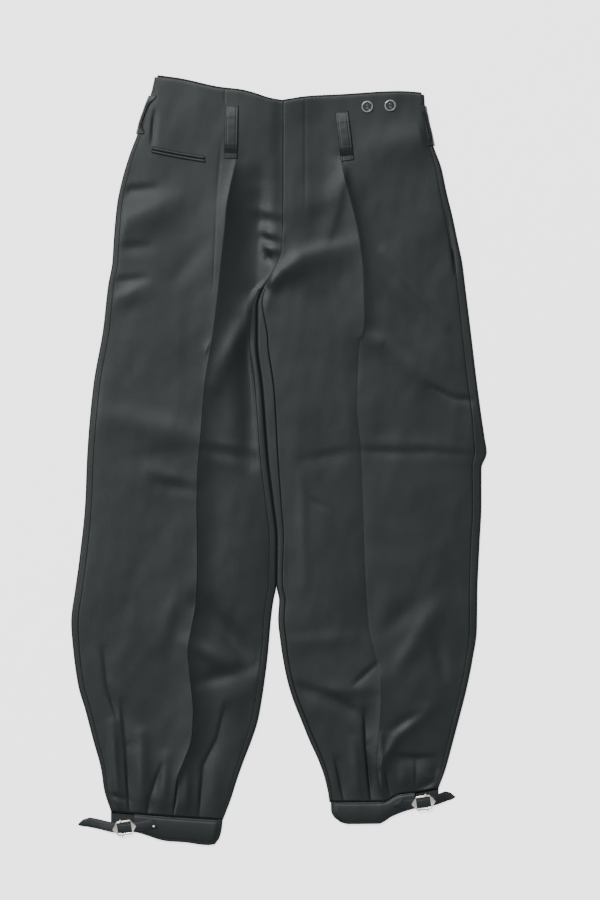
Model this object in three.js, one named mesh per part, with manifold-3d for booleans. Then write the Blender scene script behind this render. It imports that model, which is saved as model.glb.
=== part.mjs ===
// Tobi work pants: full trousers gathered into strapped cuffs, laid flat with the front up.
// Millimetres. The garment lies on z = 0, its waist towards +Y, its front towards +Z.
// Left and right are the wearer's, so the right leg lies on the -X side.
import * as THREE from 'three';
import { mergeVertices } from 'three/addons/utils/BufferGeometryUtils.js';
import Module from 'manifold-3d';

const wasm = await Module();
wasm.setup();

// ---- Driving dimensions ----
const CLOTH = 1.6; // wall of every cut panel
const GAP = 0.3; // between pieces that meet
const HALF_GAP = GAP / 2;
const EDGE_HEIGHT = 5.2; // two layers and the air between them at a leg's folded edge
const EDGE_REACH = 3.0; // how far the round of a folded edge reaches in
const SLACK = 0.2; // air between two layers, besides the gap
const LOWEST_TOP = 2 * CLOTH + GAP + SLACK; // the front never presses into the back
const CROWN = 3.4; // how far the trapped air lifts the middle of a leg
const CROWN_RUN = 32; // distance over which that lift builds up
const CALM_EDGE = 24; // folds die away within this of a folded edge
const CALM_HEM = 30; // and within this of the hem, where the cloth is sewn down
const HEM_SHARE = 0.4; // the share of lift and folds that is left at the hem
const FOLD_END = 0.45; // the share of a fold's height that is left at its ends
const HOLLOW_OFF = 22; // the hollow beside a crease: its middle's distance from the crease
const HOLLOW_REACH = 20;
const BACK_DROP = 3; // the back's waist edge lies this far below the front's
const CROTCH_Y = 229.5;
const CROTCH_ROW = 4.5; // a short row, where the fronts part and the inner edges begin
const JOIN_LOW = 5; // from here below the crotch the middle stops being a folded edge
const JOIN_HIGH = 75; // and from here above it, it counts as JOINED away from one
const JOINED = 90;
const WAIST_BEND = 60; // how far down rows still bend to the line of the waist
const HEM_BEND = 70; // how far up rows still bend to the line of the hem
const FLY_LAP = 9; // the right front runs on under the left one
const FLY_FOOT = 286; // where the lap ends
const FLY_FADE = [2, 18]; // past the lap, the left front comes down again between these
const FLY_RISE = [54, 22]; // below the foot, it starts and ends its rise at these
const LOOP_WIDTH = 18;
const LOOP_RISE = 4.2; // clear height under a belt loop
const WELT_HEIGHT = 4;
const WELT_THICKNESS = 1.1;
const WELT_SLIT = 0.6; // between the two welts
const BUTTON_RADIUS = 8;
const STRAP_THICKNESS = 1.6;
const STRAP_HALF = 6.7;

// ---- Tables: a row for each section, from the waist down ----
function table(names, rows) {
  return rows.map((row) => Object.fromEntries(names.map((name, i) => [name, row[i]])));
}

// The folded outer edge of each leg, and how far the side seam lies inside it.
const RIGHT_SIDE = table(['y', 'x', 'seam'], [
  [519, -167.4, 3.4],
  [500, -171.5, 3.4],
  [474, -180, 3.6],
  [459, -185.3, 4],
  [442, -190.5, 5],
  [410, -202.5, 6],
  [378, -212, 7],
  [346, -218.7, 7],
  [305, -222.8, 7.5],
  [265, -225.5, 8],
  [236, -230.9, 8],
  [177, -237.6, 9],
  [99, -251.1, 9],
  [7, -259.2, 9],
  [-58, -261.9, 9],
  [-136, -270, 10],
  [-175, -275.4, 10],
  [-219, -280.8, 10],
  [-256, -278.1, 9],
  [-304, -271.4, 8],
  [-337, -261.9, 8],
  [-378, -251.1, 7],
  [-418, -240.3, 6],
  [-445, -236.3, 5],
  [-475, -226.8, 4],
]);
const LEFT_SIDE = table(['y', 'x', 'seam'], [
  [496, 195.9, 3.4],
  [475, 197.4, 3.4],
  [459, 199.9, 3.8],
  [442, 203.9, 5],
  [425, 208.4, 6],
  [394, 219.6, 8],
  [362, 226.4, 9],
  [329, 234.5, 10],
  [297, 241.2, 11],
  [265, 247.9, 11],
  [232, 252, 11],
  [177, 258.8, 12],
  [99, 268.2, 13],
  [59, 273.6, 13],
  [30, 277.9, 15],
  [9.5, 280.8, 17],
  [-11, 273.6, 13],
  [-58, 273.6, 12],
  [-115, 270.9, 12],
  [-175, 268.2, 11],
  [-229, 267.4, 10],
  [-270, 261.5, 9],
  [-310, 253.4, 8],
  [-337, 246.6, 8],
  [-378, 235.8, 7],
  [-418, 225, 6],
  [-443, 215.6, 4],
]);

// The middle: down the fly to the crotch, then the inner edge of each leg and its inseam.
const MIDDLE = table(['y', 'right', 'left', 'rightSeam', 'leftSeam'], [
  [486, 4, 4, 3.4, 3.4],
  [286, 4, 4, 3.4, 3.4],
  [254, -9.5, -9.5, 3.4, 3.4],
  [229.5, -23, -23, 3.4, 3.4],
  [206, -29.7, -29.7, 6, 7],
  [158, -29.7, -29.7, 10, 15],
  [99, -23, -23, 10, 16],
  [-3, -14.9, -14.9, 10, 14],
  [-60, -8, -8, 10, 11],
  [-108, -3, -3, 10, 9],
  [-170, -3.5, -3.5, 10, 8],
  [-189, -7.2, 0, 10, 8],
  [-215, -10.6, -1.4, 10, 8],
  [-243, -13, 1.4, 9, 8],
  [-270, -15.6, 5.4, 9, 7],
  [-297, -19, 10.8, 9, 7],
  [-324, -23, 18.9, 9, 7],
  [-351, -28, 29.7, 9, 7],
  [-378, -36.6, 40.5, 8, 7],
  [-405, -47, 52.7, 7, 6],
  [-432, -56.6, 62.1, 6, 5],
  [-459, -65.2, 67.5, 5, 4],
  [-486, -75.6, 69.5, 4, 4],
]);

// The pressed crease down each front. Positive is a ridge, negative a valley.
// left and right are how wide its two sides are, sink a broad hollow on the +X side.
const RIGHT_CREASE = table(['y', 'x', 'height', 'left', 'right', 'sink'], [
  [520, -64.8, 0, 14, 6, 0],
  [430, -64.8, 0, 14, 6, 0],
  [409, -64.8, 0, 14, 5, 0],
  [392, -65.2, 2.8, 13, 5, 0.8],
  [364, -67.2, 4.2, 12, 6, 1.6],
  [339, -71.6, 4.3, 13, 6, 1.8],
  [279, -76.8, 4.4, 14, 6, 2],
  [220, -82.8, 4.4, 14, 6, 2],
  [161, -90.5, 3.6, 14, 5, 2],
  [131, -95.6, 3, 14, 5, 1.8],
  [101, -100.2, 2.6, 14, 5, 1.6],
  [42, -104.8, 2.4, 16, 5, 1.3],
  [-18, -109.6, 2.4, 16, 5, 1.2],
  [-135, -110.2, 2.8, 18, 5, 1.4],
  [-190, -111.8, 3.2, 20, 5, 2],
  [-225, -117.5, 3.6, 18, 5, 1.4],
  [-255, -122.6, 4, 18, 5, 1.6],
  [-285, -120.6, 4.2, 20, 5, 1.6],
  [-344, -115.6, 5, 22, 6, 2],
  [-374, -117.4, 5.2, 22, 6, 1.8],
  [-404, -127.4, 5, 18, 6, 1.4],
  [-433, -138, 4, 14, 5, 1],
  [-480, -142, 3, 10, 5, 0.5],
]);
const LEFT_CREASE = table(['y', 'x', 'height', 'left', 'right', 'sink'], [
  [500, 86, 0, 14, 10, 0],
  [403, 86, 0, 14, 10, 0],
  [388, 87.8, 1.8, 12, 12, 0],
  [367, 92.2, 3.2, 12, 10, 0],
  [339, 99.6, 3.5, 13, 9, 0.6],
  [308, 106.8, 3.6, 14, 9, 0.8],
  [279, 111.2, 3.3, 13, 9, 1],
  [250, 113.8, 3, 12, 8, 1.2],
  [190, 115.4, 2.2, 12, 8, 0.8],
  [151, 108, -0.8, 10, 10, 0],
  [65, 105.3, -1.4, 10, 14, -0.6],
  [20, 110, -1.4, 10, 14, -0.6],
  [-54, 113, -1.4, 10, 14, -0.6],
  [-148, 116, -1.4, 10, 14, -0.6],
  [-225, 121, -1.8, 10, 10, -0.8],
  [-262, 130, -1.2, 10, 10, -0.6],
  [-300, 137, 1.4, 12, 10, 0],
  [-344, 136, 2.4, 12, 9, 0],
  [-409, 132, 3, 12, 8, 0],
  [-462, 140.4, 2, 10, 8, 0],
]);

// The largest folds: soft ridges and troughs from one end to the other.
// bow pushes the middle sideways, to the left of the way the fold runs.
const FOLDS = table(['x0', 'y0', 'x1', 'y1', 'height', 'width', 'bow'], [
  // right leg, hip to knee
  [-215, 343, -152, 366, 2.6, 13, 4],
  [-216, 368, -161, 371, -1.4, 8, 0],
  [-225, 236, -182, 244, 1.8, 10, 0],
  [-248, 78, -108, 18, 2.8, 16, 8],
  [-106, 20, -24, 12, 1.8, 9, 3],
  [-30, 196, -92, 118, 3, 13, -4],
  [-40, 172, -30, 20, -1.8, 13, 0],
  [-168, 4, -122, 2, -1.2, 9, 0],
  [-160, -28, -116, -32, -0.9, 12, 0],
  // right leg, knee to cuff
  [-126, -206, -152, -246, -1.4, 12, 0],
  [-113, -202, -52, -276, -2.2, 9, 0],
  [-116, -240, -58, -282, 2.6, 13, 0],
  [-95, -300, -34, -284, -2, 8, 3],
  [-235, -268, -222, -336, -2.2, 6, 0],
  [-211, -330, -201, -474, -3, 6, 2],
  [-218, -366, -214, -470, 1.8, 9, 0],
  [-176, -350, -176, -462, 3, 24, 0],
  [-158, -414, -178, -474, -2.4, 6, 2],
  [-124, -420, -126, -474, 1.8, 9, 0],
  [-73, -336, -109, -474, -2.4, 7, -5],
  [-92, -404, -93, -476, 1.8, 10, 0],
  [-234, -450, -205, -459, -1.3, 5, 0],
  // left leg, hip to knee
  [-16, 236, 69, 293, 3.8, 11, 3],
  [16, 236, 100, 274, -1.4, 14, 4],
  [26, 390, 88, 376, 1.8, 26, 0],
  [86, 360, 62, 294, -1.6, 8, 0],
  [147, 166, 197, 98, 2.2, 12, 4],
  [205, 98, 268, 82, -1.8, 6, -2],
  [186, 212, 221, 182, 1.4, 10, 0],
  [35, 14, 272, 20, 1.4, 10, 0],
  [35, -2, 270, 6, -1.5, 8, 0],
  // left leg, knee to cuff
  [132, -280, 102, -298, -1.8, 6, 0],
  [28, -296, 116, -311, 2, 10, -4],
  [20, -306, 99, -336, -2.4, 8, -3],
  [196, -343, 136, -409, 2.8, 10, -3],
  [155, -399, 205, -399, -2.4, 7, 0],
  [181, -255, 155, -286, 1.4, 10, 0],
  [78, -414, 86, -459, -2.4, 6, 0],
  [116, -356, 124, -460, -3, 6, 2],
  [100, -380, 105, -458, 1.8, 12, 0],
  [146, -434, 150, -452, -1.8, 5, 0],
  [168, -414, 172, -446, 1.8, 11, 0],
]);

// ---- Smooth curves through a table ----
// A monotone cubic: it never swings past the table's own values.
function through(rows, name) {
  const ys = rows.map((row) => row.y);
  const vs = rows.map((row) => row[name]);
  const last = rows.length - 1;
  const slopes = [];
  for (let i = 0; i < last; i += 1) {
    slopes.push((vs[i + 1] - vs[i]) / (ys[i + 1] - ys[i]));
  }
  const tangents = vs.map((_, i) => {
    if (i === 0) {
      return slopes[0];
    }
    if (i === last) {
      return slopes[last - 1];
    }
    const before = slopes[i - 1];
    const after = slopes[i];
    return before * after <= 0 ? 0 : (2 * before * after) / (before + after);
  });
  return (y) => {
    if (y >= ys[0]) {
      return vs[0] + tangents[0] * (y - ys[0]);
    }
    if (y <= ys[last]) {
      return vs[last] + tangents[last] * (y - ys[last]);
    }
    let i = 0;
    while (ys[i + 1] > y) {
      i += 1;
    }
    const run = ys[i + 1] - ys[i];
    const t = (y - ys[i]) / run;
    const flat = t * t * (3 - 2 * t);
    const rise = vs[i] + (vs[i + 1] - vs[i]) * flat;
    return rise + run * (tangents[i] * t * (1 - t) ** 2 - tangents[i + 1] * t * t * (1 - t));
  };
}

function smooth(from, to, value) {
  return THREE.MathUtils.smoothstep(Math.min(Math.max((value - from) / (to - from), 0), 1), 0, 1);
}

const mix = THREE.MathUtils.lerp;

// ---- The two legs ----
// inward is +1 where inwards is +X. A level is a row from the outer to the inner edge, and
// rows is the number of rows down to the next one. waist and hem give the height of the
// leg's first and last row by x, from +X to -X.
function leg(side, middle, seam, crease, inward, levels, waist, hem) {
  return {
    inward,
    side: through(side, 'x'),
    sideSeam: through(side, 'seam'),
    middle: through(MIDDLE, middle),
    inseam: through(MIDDLE, seam),
    crease: through(crease, 'x'),
    creaseHeight: through(crease, 'height'),
    creaseLeft: through(crease, 'left'),
    creaseRight: through(crease, 'right'),
    creaseSink: through(crease, 'sink'),
    levels: table(['outer', 'inner', 'rows'], levels),
    waist: through(table(['y', 'h'], waist), 'h'),
    hem: through(table(['y', 'h'], hem), 'h'),
  };
}

const RIGHT_LEG = leg(RIGHT_SIDE, 'right', 'rightSeam', RIGHT_CREASE, 1, [
  [519.75, 486, 8],
  [240, CROTCH_Y + CROTCH_ROW, 1],
  [236, CROTCH_Y, 7],
  [7, 0, 6],
  [-219, -215, 12],
  [-475, -486, 0],
], [
  [4, 486],
  [-12, 489],
  [-39, 497.5],
  [-53, 500.6],
  [-80, 503.8],
  [-134, 515.4],
  [-164, 519.55],
], [[-75, -486], [-151, -481], [-227, -475]]);
const LEFT_LEG = leg(LEFT_SIDE, 'left', 'leftSeam', LEFT_CREASE, -1, [
  [495, 486, 8],
  [236, CROTCH_Y + CROTCH_ROW, 1],
  [232, CROTCH_Y, 7],
  [9.5, 0, 6],
  [-229, -215, 12],
  [-443, -461.7, 0],
], [
  [196, 496],
  [163, 498],
  [82, 493.6],
  [42, 491.6],
  [4, 486],
], [[215, -443], [186, -448], [162, -451], [140, -461], [69, -461.7]]);

// Every row of a leg: the heights of its two ends, and how far it bends to the line of the
// waist or of the hem.
function rowsOf(which) {
  const rows = [];
  which.levels.forEach((level, i) => {
    const next = which.levels[i + 1];
    for (let k = 0; k < level.rows; k += 1) {
      const t = k / level.rows;
      rows.push({
        outer: mix(level.outer, next.outer, t),
        inner: mix(level.inner, next.inner, t),
      });
    }
  });
  const end = which.levels[which.levels.length - 1];
  rows.push({ outer: end.outer, inner: end.inner });
  rows.forEach((row) => {
    row.waistBend = 1 - smooth(0, WAIST_BEND, which.levels[0].outer - row.outer);
    row.hemBend = 1 - smooth(0, HEM_BEND, row.outer - end.outer);
    row.belowCrotch = row.inner <= CROTCH_Y;
  });
  return rows;
}

// The height up the garment of a row at x: straight across, or along the waist or the hem.
function rowHeight(which, row, x) {
  const [first] = which.levels;
  const last = which.levels[which.levels.length - 1];
  const toWaist = row.waistBend * (which.waist(x) - straight(which, first, x));
  const toHem = row.hemBend * (which.hem(x) - straight(which, last, x));
  return straight(which, row, x) + toWaist + toHem;
}

function straight(which, row, x) {
  const from = which.side(row.outer);
  return mix(row.outer, row.inner, (x - from) / (which.middle(row.inner) - from));
}

// ---- The top surface ----
function foldLift(fold, x, y) {
  const run = new THREE.Vector2(fold.x1 - fold.x0, fold.y1 - fold.y0);
  const length = run.length();
  run.divideScalar(length);
  const along = (x - fold.x0) * run.x + (y - fold.y0) * run.y;
  const across = (y - fold.y0) * run.x - (x - fold.x0) * run.y;
  const t = Math.min(Math.max(along / length, 0), 1);
  const beyond = along - t * length;
  const off = across - fold.bow * 4 * t * (1 - t);
  const away = (off * off + beyond * beyond) / (fold.width * fold.width);
  const fade = mix(FOLD_END, 1, Math.sin(Math.PI * t));
  return fold.height * fade * Math.exp(-2 * away);
}

function creaseLift(which, x, y) {
  const off = x - which.crease(y);
  const width = off < 0 ? which.creaseLeft(y) : which.creaseRight(y);
  const ridge = which.creaseHeight(y) * Math.exp(-Math.abs(off) / width);
  const fromHollow = (off - HOLLOW_OFF) / HOLLOW_REACH;
  const hollow = off > 0 ? which.creaseSink(y) * Math.exp(-fromHollow * fromHollow) : 0;
  return ridge - hollow;
}

// Height of the front's outer face. It is one surface over both legs.
function topHeight(x, y) {
  const which = x < (RIGHT_LEG.middle(y) + LEFT_LEG.middle(y)) / 2 ? RIGHT_LEG : LEFT_LEG;
  const fromSide = (x - which.side(y)) * which.inward;
  const joined = JOINED * smooth(CROTCH_Y - JOIN_LOW, CROTCH_Y + JOIN_HIGH, y);
  const fromMiddle = Math.abs(x - which.middle(y)) + joined;
  const nearest = Math.min(fromSide, fromMiddle);
  const lifted = (distance) => 1 - Math.exp(-distance / CROWN_RUN);
  const crown = CROWN * lifted(fromSide) * lifted(fromMiddle);
  const folds = FOLDS.reduce((sum, fold) => sum + foldLift(fold, x, y), creaseLift(which, x, y));
  const calm = smooth(EDGE_REACH, CALM_EDGE, nearest);
  const sewn = mix(HEM_SHARE, 1, smooth(0, CALM_HEM, y - which.hem(x)));
  return Math.max(EDGE_HEIGHT + calm * sewn * (crown + folds), LOWEST_TOP);
}

// The left front rides up over the lap of the right one.
function flyLift(x, y) {
  const past = x - LEFT_LEG.middle(y);
  const across = 1 - smooth(FLY_LAP + FLY_FADE[0], FLY_LAP + FLY_FADE[1], past);
  const up = smooth(FLY_FOOT - FLY_RISE[0], FLY_FOOT - FLY_RISE[1], y);
  return (CLOTH + GAP + SLACK) * across * up;
}

// ---- Walls ----
// Two grids of points, outer and inner, become one closed wall over the cells that keep()
// lets stand, with a rim along every free edge.
function wall(outer, inner, keep = () => true) {
  const rows = outer.length;
  const columns = outer[0].length;
  const positions = [...outer.flat(), ...inner.flat()].flatMap((p) => [p.x, p.y, p.z]);
  const index = [];
  const id = (r, c, layer) => layer * rows * columns + r * columns + c;
  const stands = (r, c) => r >= 0 && c >= 0 && r < rows - 1 && c < columns - 1 && keep(r, c);
  const quad = (a, b, c, d) => index.push(a, b, c, a, c, d);
  const rim = (r0, c0, r1, c1) => quad(id(r0, c0, 0), id(r1, c1, 0), id(r1, c1, 1), id(r0, c0, 1));
  for (let r = 0; r < rows - 1; r += 1) {
    for (let c = 0; c < columns - 1; c += 1) {
      if (stands(r, c)) {
        quad(id(r, c, 0), id(r + 1, c, 0), id(r + 1, c + 1, 0), id(r, c + 1, 0));
        quad(id(r, c + 1, 1), id(r + 1, c + 1, 1), id(r + 1, c, 1), id(r, c, 1));
        if (!stands(r - 1, c)) {
          rim(r, c, r, c + 1);
        }
        if (!stands(r + 1, c)) {
          rim(r + 1, c + 1, r + 1, c);
        }
        if (!stands(r, c - 1)) {
          rim(r + 1, c, r, c);
        }
        if (!stands(r, c + 1)) {
          rim(r, c + 1, r + 1, c + 1);
        }
      }
    }
  }
  const used = [...new Set(index)];
  const place = new Map(used.map((old, i) => [old, i]));
  const geometry = new THREE.BufferGeometry();
  const kept = used.flatMap((old) => positions.slice(old * 3, old * 3 + 3));
  geometry.setAttribute('position', new THREE.Float32BufferAttribute(kept, 3));
  geometry.setIndex(index.map((old) => place.get(old)));
  return facingOut(geometry);
}

function facingOut(geometry) {
  const p = geometry.getAttribute('position');
  const index = geometry.getIndex().array;
  const [a, b, c] = [new THREE.Vector3(), new THREE.Vector3(), new THREE.Vector3()];
  let volume = 0;
  for (let i = 0; i < index.length; i += 3) {
    a.fromBufferAttribute(p, index[i]);
    b.fromBufferAttribute(p, index[i + 1]);
    c.fromBufferAttribute(p, index[i + 2]);
    volume += a.dot(b.cross(c));
  }
  if (volume < 0) {
    geometry.setIndex(Array.from(index).reverse());
  }
  geometry.computeVertexNormals();
  return geometry;
}

function spread(from, to, count) {
  return Array.from({ length: count }, (_, i) => mix(from, to, i / (count - 1)));
}

// ---- Front panels ----
// The columns gather round the pressed crease, so that it stays sharp.
const CREASE_COLUMNS = [-16, -9, -4, 0, 2.5, 6, 12];
const OUTER_COLUMNS = 8;
const INNER_COLUMNS = 7;
const LAP_END = 10; // the lap's last row is the first that is this far above the fly's foot

function frontColumns(which, row) {
  const seam = which.side(row.outer) + which.inward * (which.sideSeam(row.outer) + HALF_GAP);
  const inset = row.belowCrotch ? which.inseam(row.inner) : 0;
  const edge = which.middle(row.inner) - which.inward * (inset + HALF_GAP);
  const lap = which === RIGHT_LEG && row.inner > FLY_FOOT + LAP_END ? FLY_LAP + HALF_GAP : 0;
  const crease = which.crease((row.outer + row.inner) / 2);
  const near = CREASE_COLUMNS.map((offset) => crease + offset);
  const ordered = which.inward > 0 ? near : near.reverse();
  return [
    ...spread(seam, ordered[0], OUTER_COLUMNS).slice(0, -1),
    ...ordered,
    ...spread(ordered[ordered.length - 1], edge + lap, INNER_COLUMNS).slice(1),
  ];
}

function frontFace(which) {
  return rowsOf(which).map((row) => frontColumns(which, row).map((x) => {
    const y = rowHeight(which, row, x);
    const lap = which === LEFT_LEG ? flyLift(x, y) : 0;
    return new THREE.Vector3(x, y, topHeight(x, y) + lap);
  }));
}

const RIGHT_FACE = frontFace(RIGHT_LEG);
const LEFT_FACE = frontFace(LEFT_LEG);

function frontPanel(face) {
  return wall(face, face.map((row) => row.map((p) => new THREE.Vector3(p.x, p.y, p.z - CLOTH))));
}

// Where a piece on the front rests: the height of the facets under a point.
const ON_EDGE = -1e-6; // a point on a facet's edge counts as on it

function seat(x, y) {
  const spot = new THREE.Vector3(x, y, 0);
  const shares = new THREE.Vector3();
  let height = topHeight(x, y);
  const lookAt = (...corners) => {
    const level = corners.map((p) => new THREE.Vector3(p.x, p.y, 0));
    THREE.Triangle.getBarycoord(spot, ...level, shares);
    if (Math.min(shares.x, shares.y, shares.z) > ON_EDGE) {
      height = shares.x * corners[0].z + shares.y * corners[1].z + shares.z * corners[2].z;
    }
  };
  [RIGHT_FACE, LEFT_FACE].forEach((face) => {
    for (let r = 0; r < face.length - 1; r += 1) {
      for (let c = 0; c < face[0].length - 1; c += 1) {
        lookAt(face[r][c], face[r + 1][c], face[r + 1][c + 1]);
        lookAt(face[r][c], face[r + 1][c + 1], face[r][c + 1]);
      }
    }
  });
  return height;
}

// ---- Back panels ----
// Each lies on the ground, folds up round the leg's edges and ends at the front's seams.
// Above the crotch it ends at the centre back.
const TURN = [0, 0.25, 0.5, 0.75, 1]; // shares of the half turn round a folded edge
const FLOOR_COLUMNS = 5;

function backSection(which, row, depth) {
  const side = which.side(row.outer);
  const middle = which.middle(row.inner) - which.inward * HALF_GAP;
  const reach = EDGE_REACH - depth;
  const half = EDGE_HEIGHT / 2;
  const rise = half - depth;
  const turn = (share, centre, outwards) => {
    const angle = Math.PI * share;
    return [centre + outwards * reach * Math.sin(angle), half + rise * Math.cos(angle)];
  };
  const sideCentre = side + which.inward * EDGE_REACH;
  const middleCentre = middle - which.inward * EDGE_REACH;
  const sideFlange = side + which.inward * (which.sideSeam(row.outer) - HALF_GAP);
  const innerFlange = middle - which.inward * (which.inseam(row.inner) - GAP);
  const floorEnd = row.belowCrotch ? middleCentre : middle;
  const section = [
    [sideFlange, null],
    ...TURN.map((share) => turn(share, sideCentre, -which.inward)),
    ...spread(sideCentre, floorEnd, FLOOR_COLUMNS).slice(1).map((x) => [x, depth]),
    ...TURN.slice(0, -1).reverse().map((share) => turn(share, middleCentre, which.inward)),
    [innerFlange, null],
  ];
  return section.map(([x, z]) => {
    const y = rowHeight(which, row, x);
    return new THREE.Vector3(x, y, z === null ? topHeight(x, y) - depth : z);
  });
}

function backPanel(which) {
  const rows = rowsOf(which);
  const dropped = rows.map((row, i) => (i === 0
    ? { ...row, outer: row.outer - BACK_DROP, inner: row.inner - BACK_DROP } : row));
  const outer = dropped.map((row) => backSection(which, row, 0));
  const inner = dropped.map((row) => backSection(which, row, CLOTH));
  const floorEnd = TURN.length + FLOOR_COLUMNS - 1;
  return wall(outer, inner, (r, c) => rows[r].belowCrotch || c < floorEnd);
}

// ---- Ribbons: belt loops, welts and straps ----
// A row is a point on the middle line, its underside's height and the reach to each side.
function ribbon(rows, thickness) {
  const points = rows.map((row) => new THREE.Vector2(row.x, row.y));
  const grid = rows.map((row, i) => {
    const before = points[Math.max(i - 1, 0)];
    const after = points[Math.min(i + 1, rows.length - 1)];
    const along = after.clone().sub(before).normalize();
    const across = new THREE.Vector2(-along.y, along.x);
    return [row.left, 0, -row.right].map((reach) => {
      const x = row.x + across.x * reach;
      const y = row.y + across.y * reach;
      return new THREE.Vector3(x, y, typeof row.z === 'function' ? row.z(x, y) : row.z);
    });
  });
  const top = grid.map((row) => row.map((p) => new THREE.Vector3(p.x, p.y, p.z + thickness)));
  return wall(top, grid);
}

// A belt loop is sewn flat at its two ends and stands clear of the front between them.
const LOOP_PROFILE = table(['along', 'rise'], [
  [0, 0],
  [0.07, 0],
  [0.15, 0.8],
  [0.2, 1],
  [0.5, 1.04],
  [0.8, 1],
  [0.86, 0.8],
  [0.94, 0],
  [1, 0],
]);

const LOOP_SPOTS = 9; // places where the height of the front under a loop is taken

function frontLoop(top, bottom) {
  const spots = spread(0, 1, LOOP_SPOTS).map((t) => [mix(top[0], bottom[0], t), mix(top[1], bottom[1], t)]);
  const flatTop = Math.max(...spots.map(([x, y]) => seat(x, y)));
  const rows = LOOP_PROFILE.map(({ along, rise }) => ({
    x: mix(top[0], bottom[0], along),
    y: mix(top[1], bottom[1], along),
    left: LOOP_WIDTH / 2,
    right: LOOP_WIDTH / 2,
    z: (x, y) => mix(seat(x, y) + GAP, flatTop + LOOP_RISE, rise),
  }));
  return ribbon(rows, CLOTH);
}

// A side loop stands on its edge round the folded side: out is how far outside the edge.
const SIDE_LOOP_SEWN = table(['out', 'z'], [[0.7, GAP], [0.8, 3], [-1.5, 6], [-9.6, 6.6]]);
const SIDE_LOOP_CLEAR = table(['out', 'z'], [[1.7, GAP], [2.3, 4.2], [1.4, 8.6], [-1.6, 12.6]]);
const SIDE_LOOP_FACE = table(['out', 'z'], [[1.6, 0], [1.5, 0.5], [1.1, 1.1], [0.5, 1.5]]);

const SIDE_LOOP_ROWS = 9;
const SIDE_LOOP_BOW = 0.3; // the share of its length over which each end bows out

function sideLoop(which, top, bottom) {
  const shape = (thickness) => spread(0, 1, SIDE_LOOP_ROWS).map((t) => {
    const y = mix(top, bottom, t);
    const bowed = smooth(0, SIDE_LOOP_BOW, t) * smooth(0, SIDE_LOOP_BOW, 1 - t);
    return SIDE_LOOP_SEWN.map((sewn, i) => {
      const clear = SIDE_LOOP_CLEAR[i];
      const face = SIDE_LOOP_FACE[i];
      const out = mix(sewn.out, clear.out, bowed) + thickness * face.out;
      return new THREE.Vector3(
        which.side(y) - which.inward * out,
        y,
        mix(sewn.z, clear.z, bowed) + thickness * face.z,
      );
    });
  });
  return wall(shape(1), shape(0));
}

// A welt lies along one lip of the watch pocket.
const POCKET_START = [-171.5, 418.5];
const POCKET_END = [-100, 405.5];
const WELT_ROWS = 7;

function welt(offset) {
  const rows = spread(0, 1, WELT_ROWS).map((t) => ({
    x: mix(POCKET_START[0], POCKET_END[0], t),
    y: mix(POCKET_START[1], POCKET_END[1], t) + offset,
    left: WELT_HEIGHT / 2,
    right: WELT_HEIGHT / 2,
    z: (x, y) => seat(x, y) + GAP,
  }));
  return ribbon(rows, WELT_THICKNESS);
}

// ---- Buttons ----
// Dished, with a raised rim and four thread holes.
const BUTTON_PROFILE = [[0, 0], [6.6, 0], [8, 0.9], [8, 2.2], [7.2, 3.1], [6, 3], [5, 2], [0, 1.8]];
const BUTTON_HOLE_RADIUS = 0.85;
const BUTTON_HOLE_OUT = 1.9;
const BUTTON_HOLE_LENGTH = 12;
const BUTTON_SIDES = 24;
const HOLE_SIDES = 8;
const MERGE = 1e-4; // vertices closer than this are one

function solid(geometry) {
  geometry.deleteAttribute('normal');
  geometry.deleteAttribute('uv');
  const merged = facingOut(mergeVertices(geometry, MERGE));
  return new wasm.Manifold(new wasm.Mesh({
    numProp: 3,
    vertProperties: new Float32Array(merged.getAttribute('position').array),
    triVerts: new Uint32Array(merged.getIndex().array),
  }));
}

function geometryOf(manifold) {
  const mesh = manifold.getMesh();
  const geometry = new THREE.BufferGeometry();
  geometry.setAttribute('position', new THREE.BufferAttribute(mesh.vertProperties, 3));
  geometry.setIndex(new THREE.BufferAttribute(mesh.triVerts, 1));
  return facingOut(geometry);
}

function button() {
  const profile = BUTTON_PROFILE.map(([r, z]) => new THREE.Vector2(r, z));
  let body = solid(new THREE.LatheGeometry(profile, BUTTON_SIDES).rotateX(Math.PI / 2));
  [[1, 1], [1, -1], [-1, 1], [-1, -1]].forEach(([x, y]) => {
    const radius = BUTTON_HOLE_RADIUS;
    const hole = new THREE.CylinderGeometry(radius, radius, BUTTON_HOLE_LENGTH, HOLE_SIDES);
    hole.rotateX(Math.PI / 2);
    hole.translate(x * BUTTON_HOLE_OUT, y * BUTTON_HOLE_OUT, 0);
    body = body.subtract(solid(hole));
  });
  return geometryOf(body);
}

// ---- Cuffs ----
// A band folded round the gathered hem: the back lies on the ground as far as the outer end,
// turns up round the inner edge and comes back over the top to its tapered front end.
// bottom gives the lower edge by x, from +X to -X, and edge the inner fold by its share down.
const CUFF_ROWS = [0, 0.3, 0.6, 0.85, 1];
const END_SHARE = 0.02; // no column stands closer than this to the ends of the cuff's front

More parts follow.
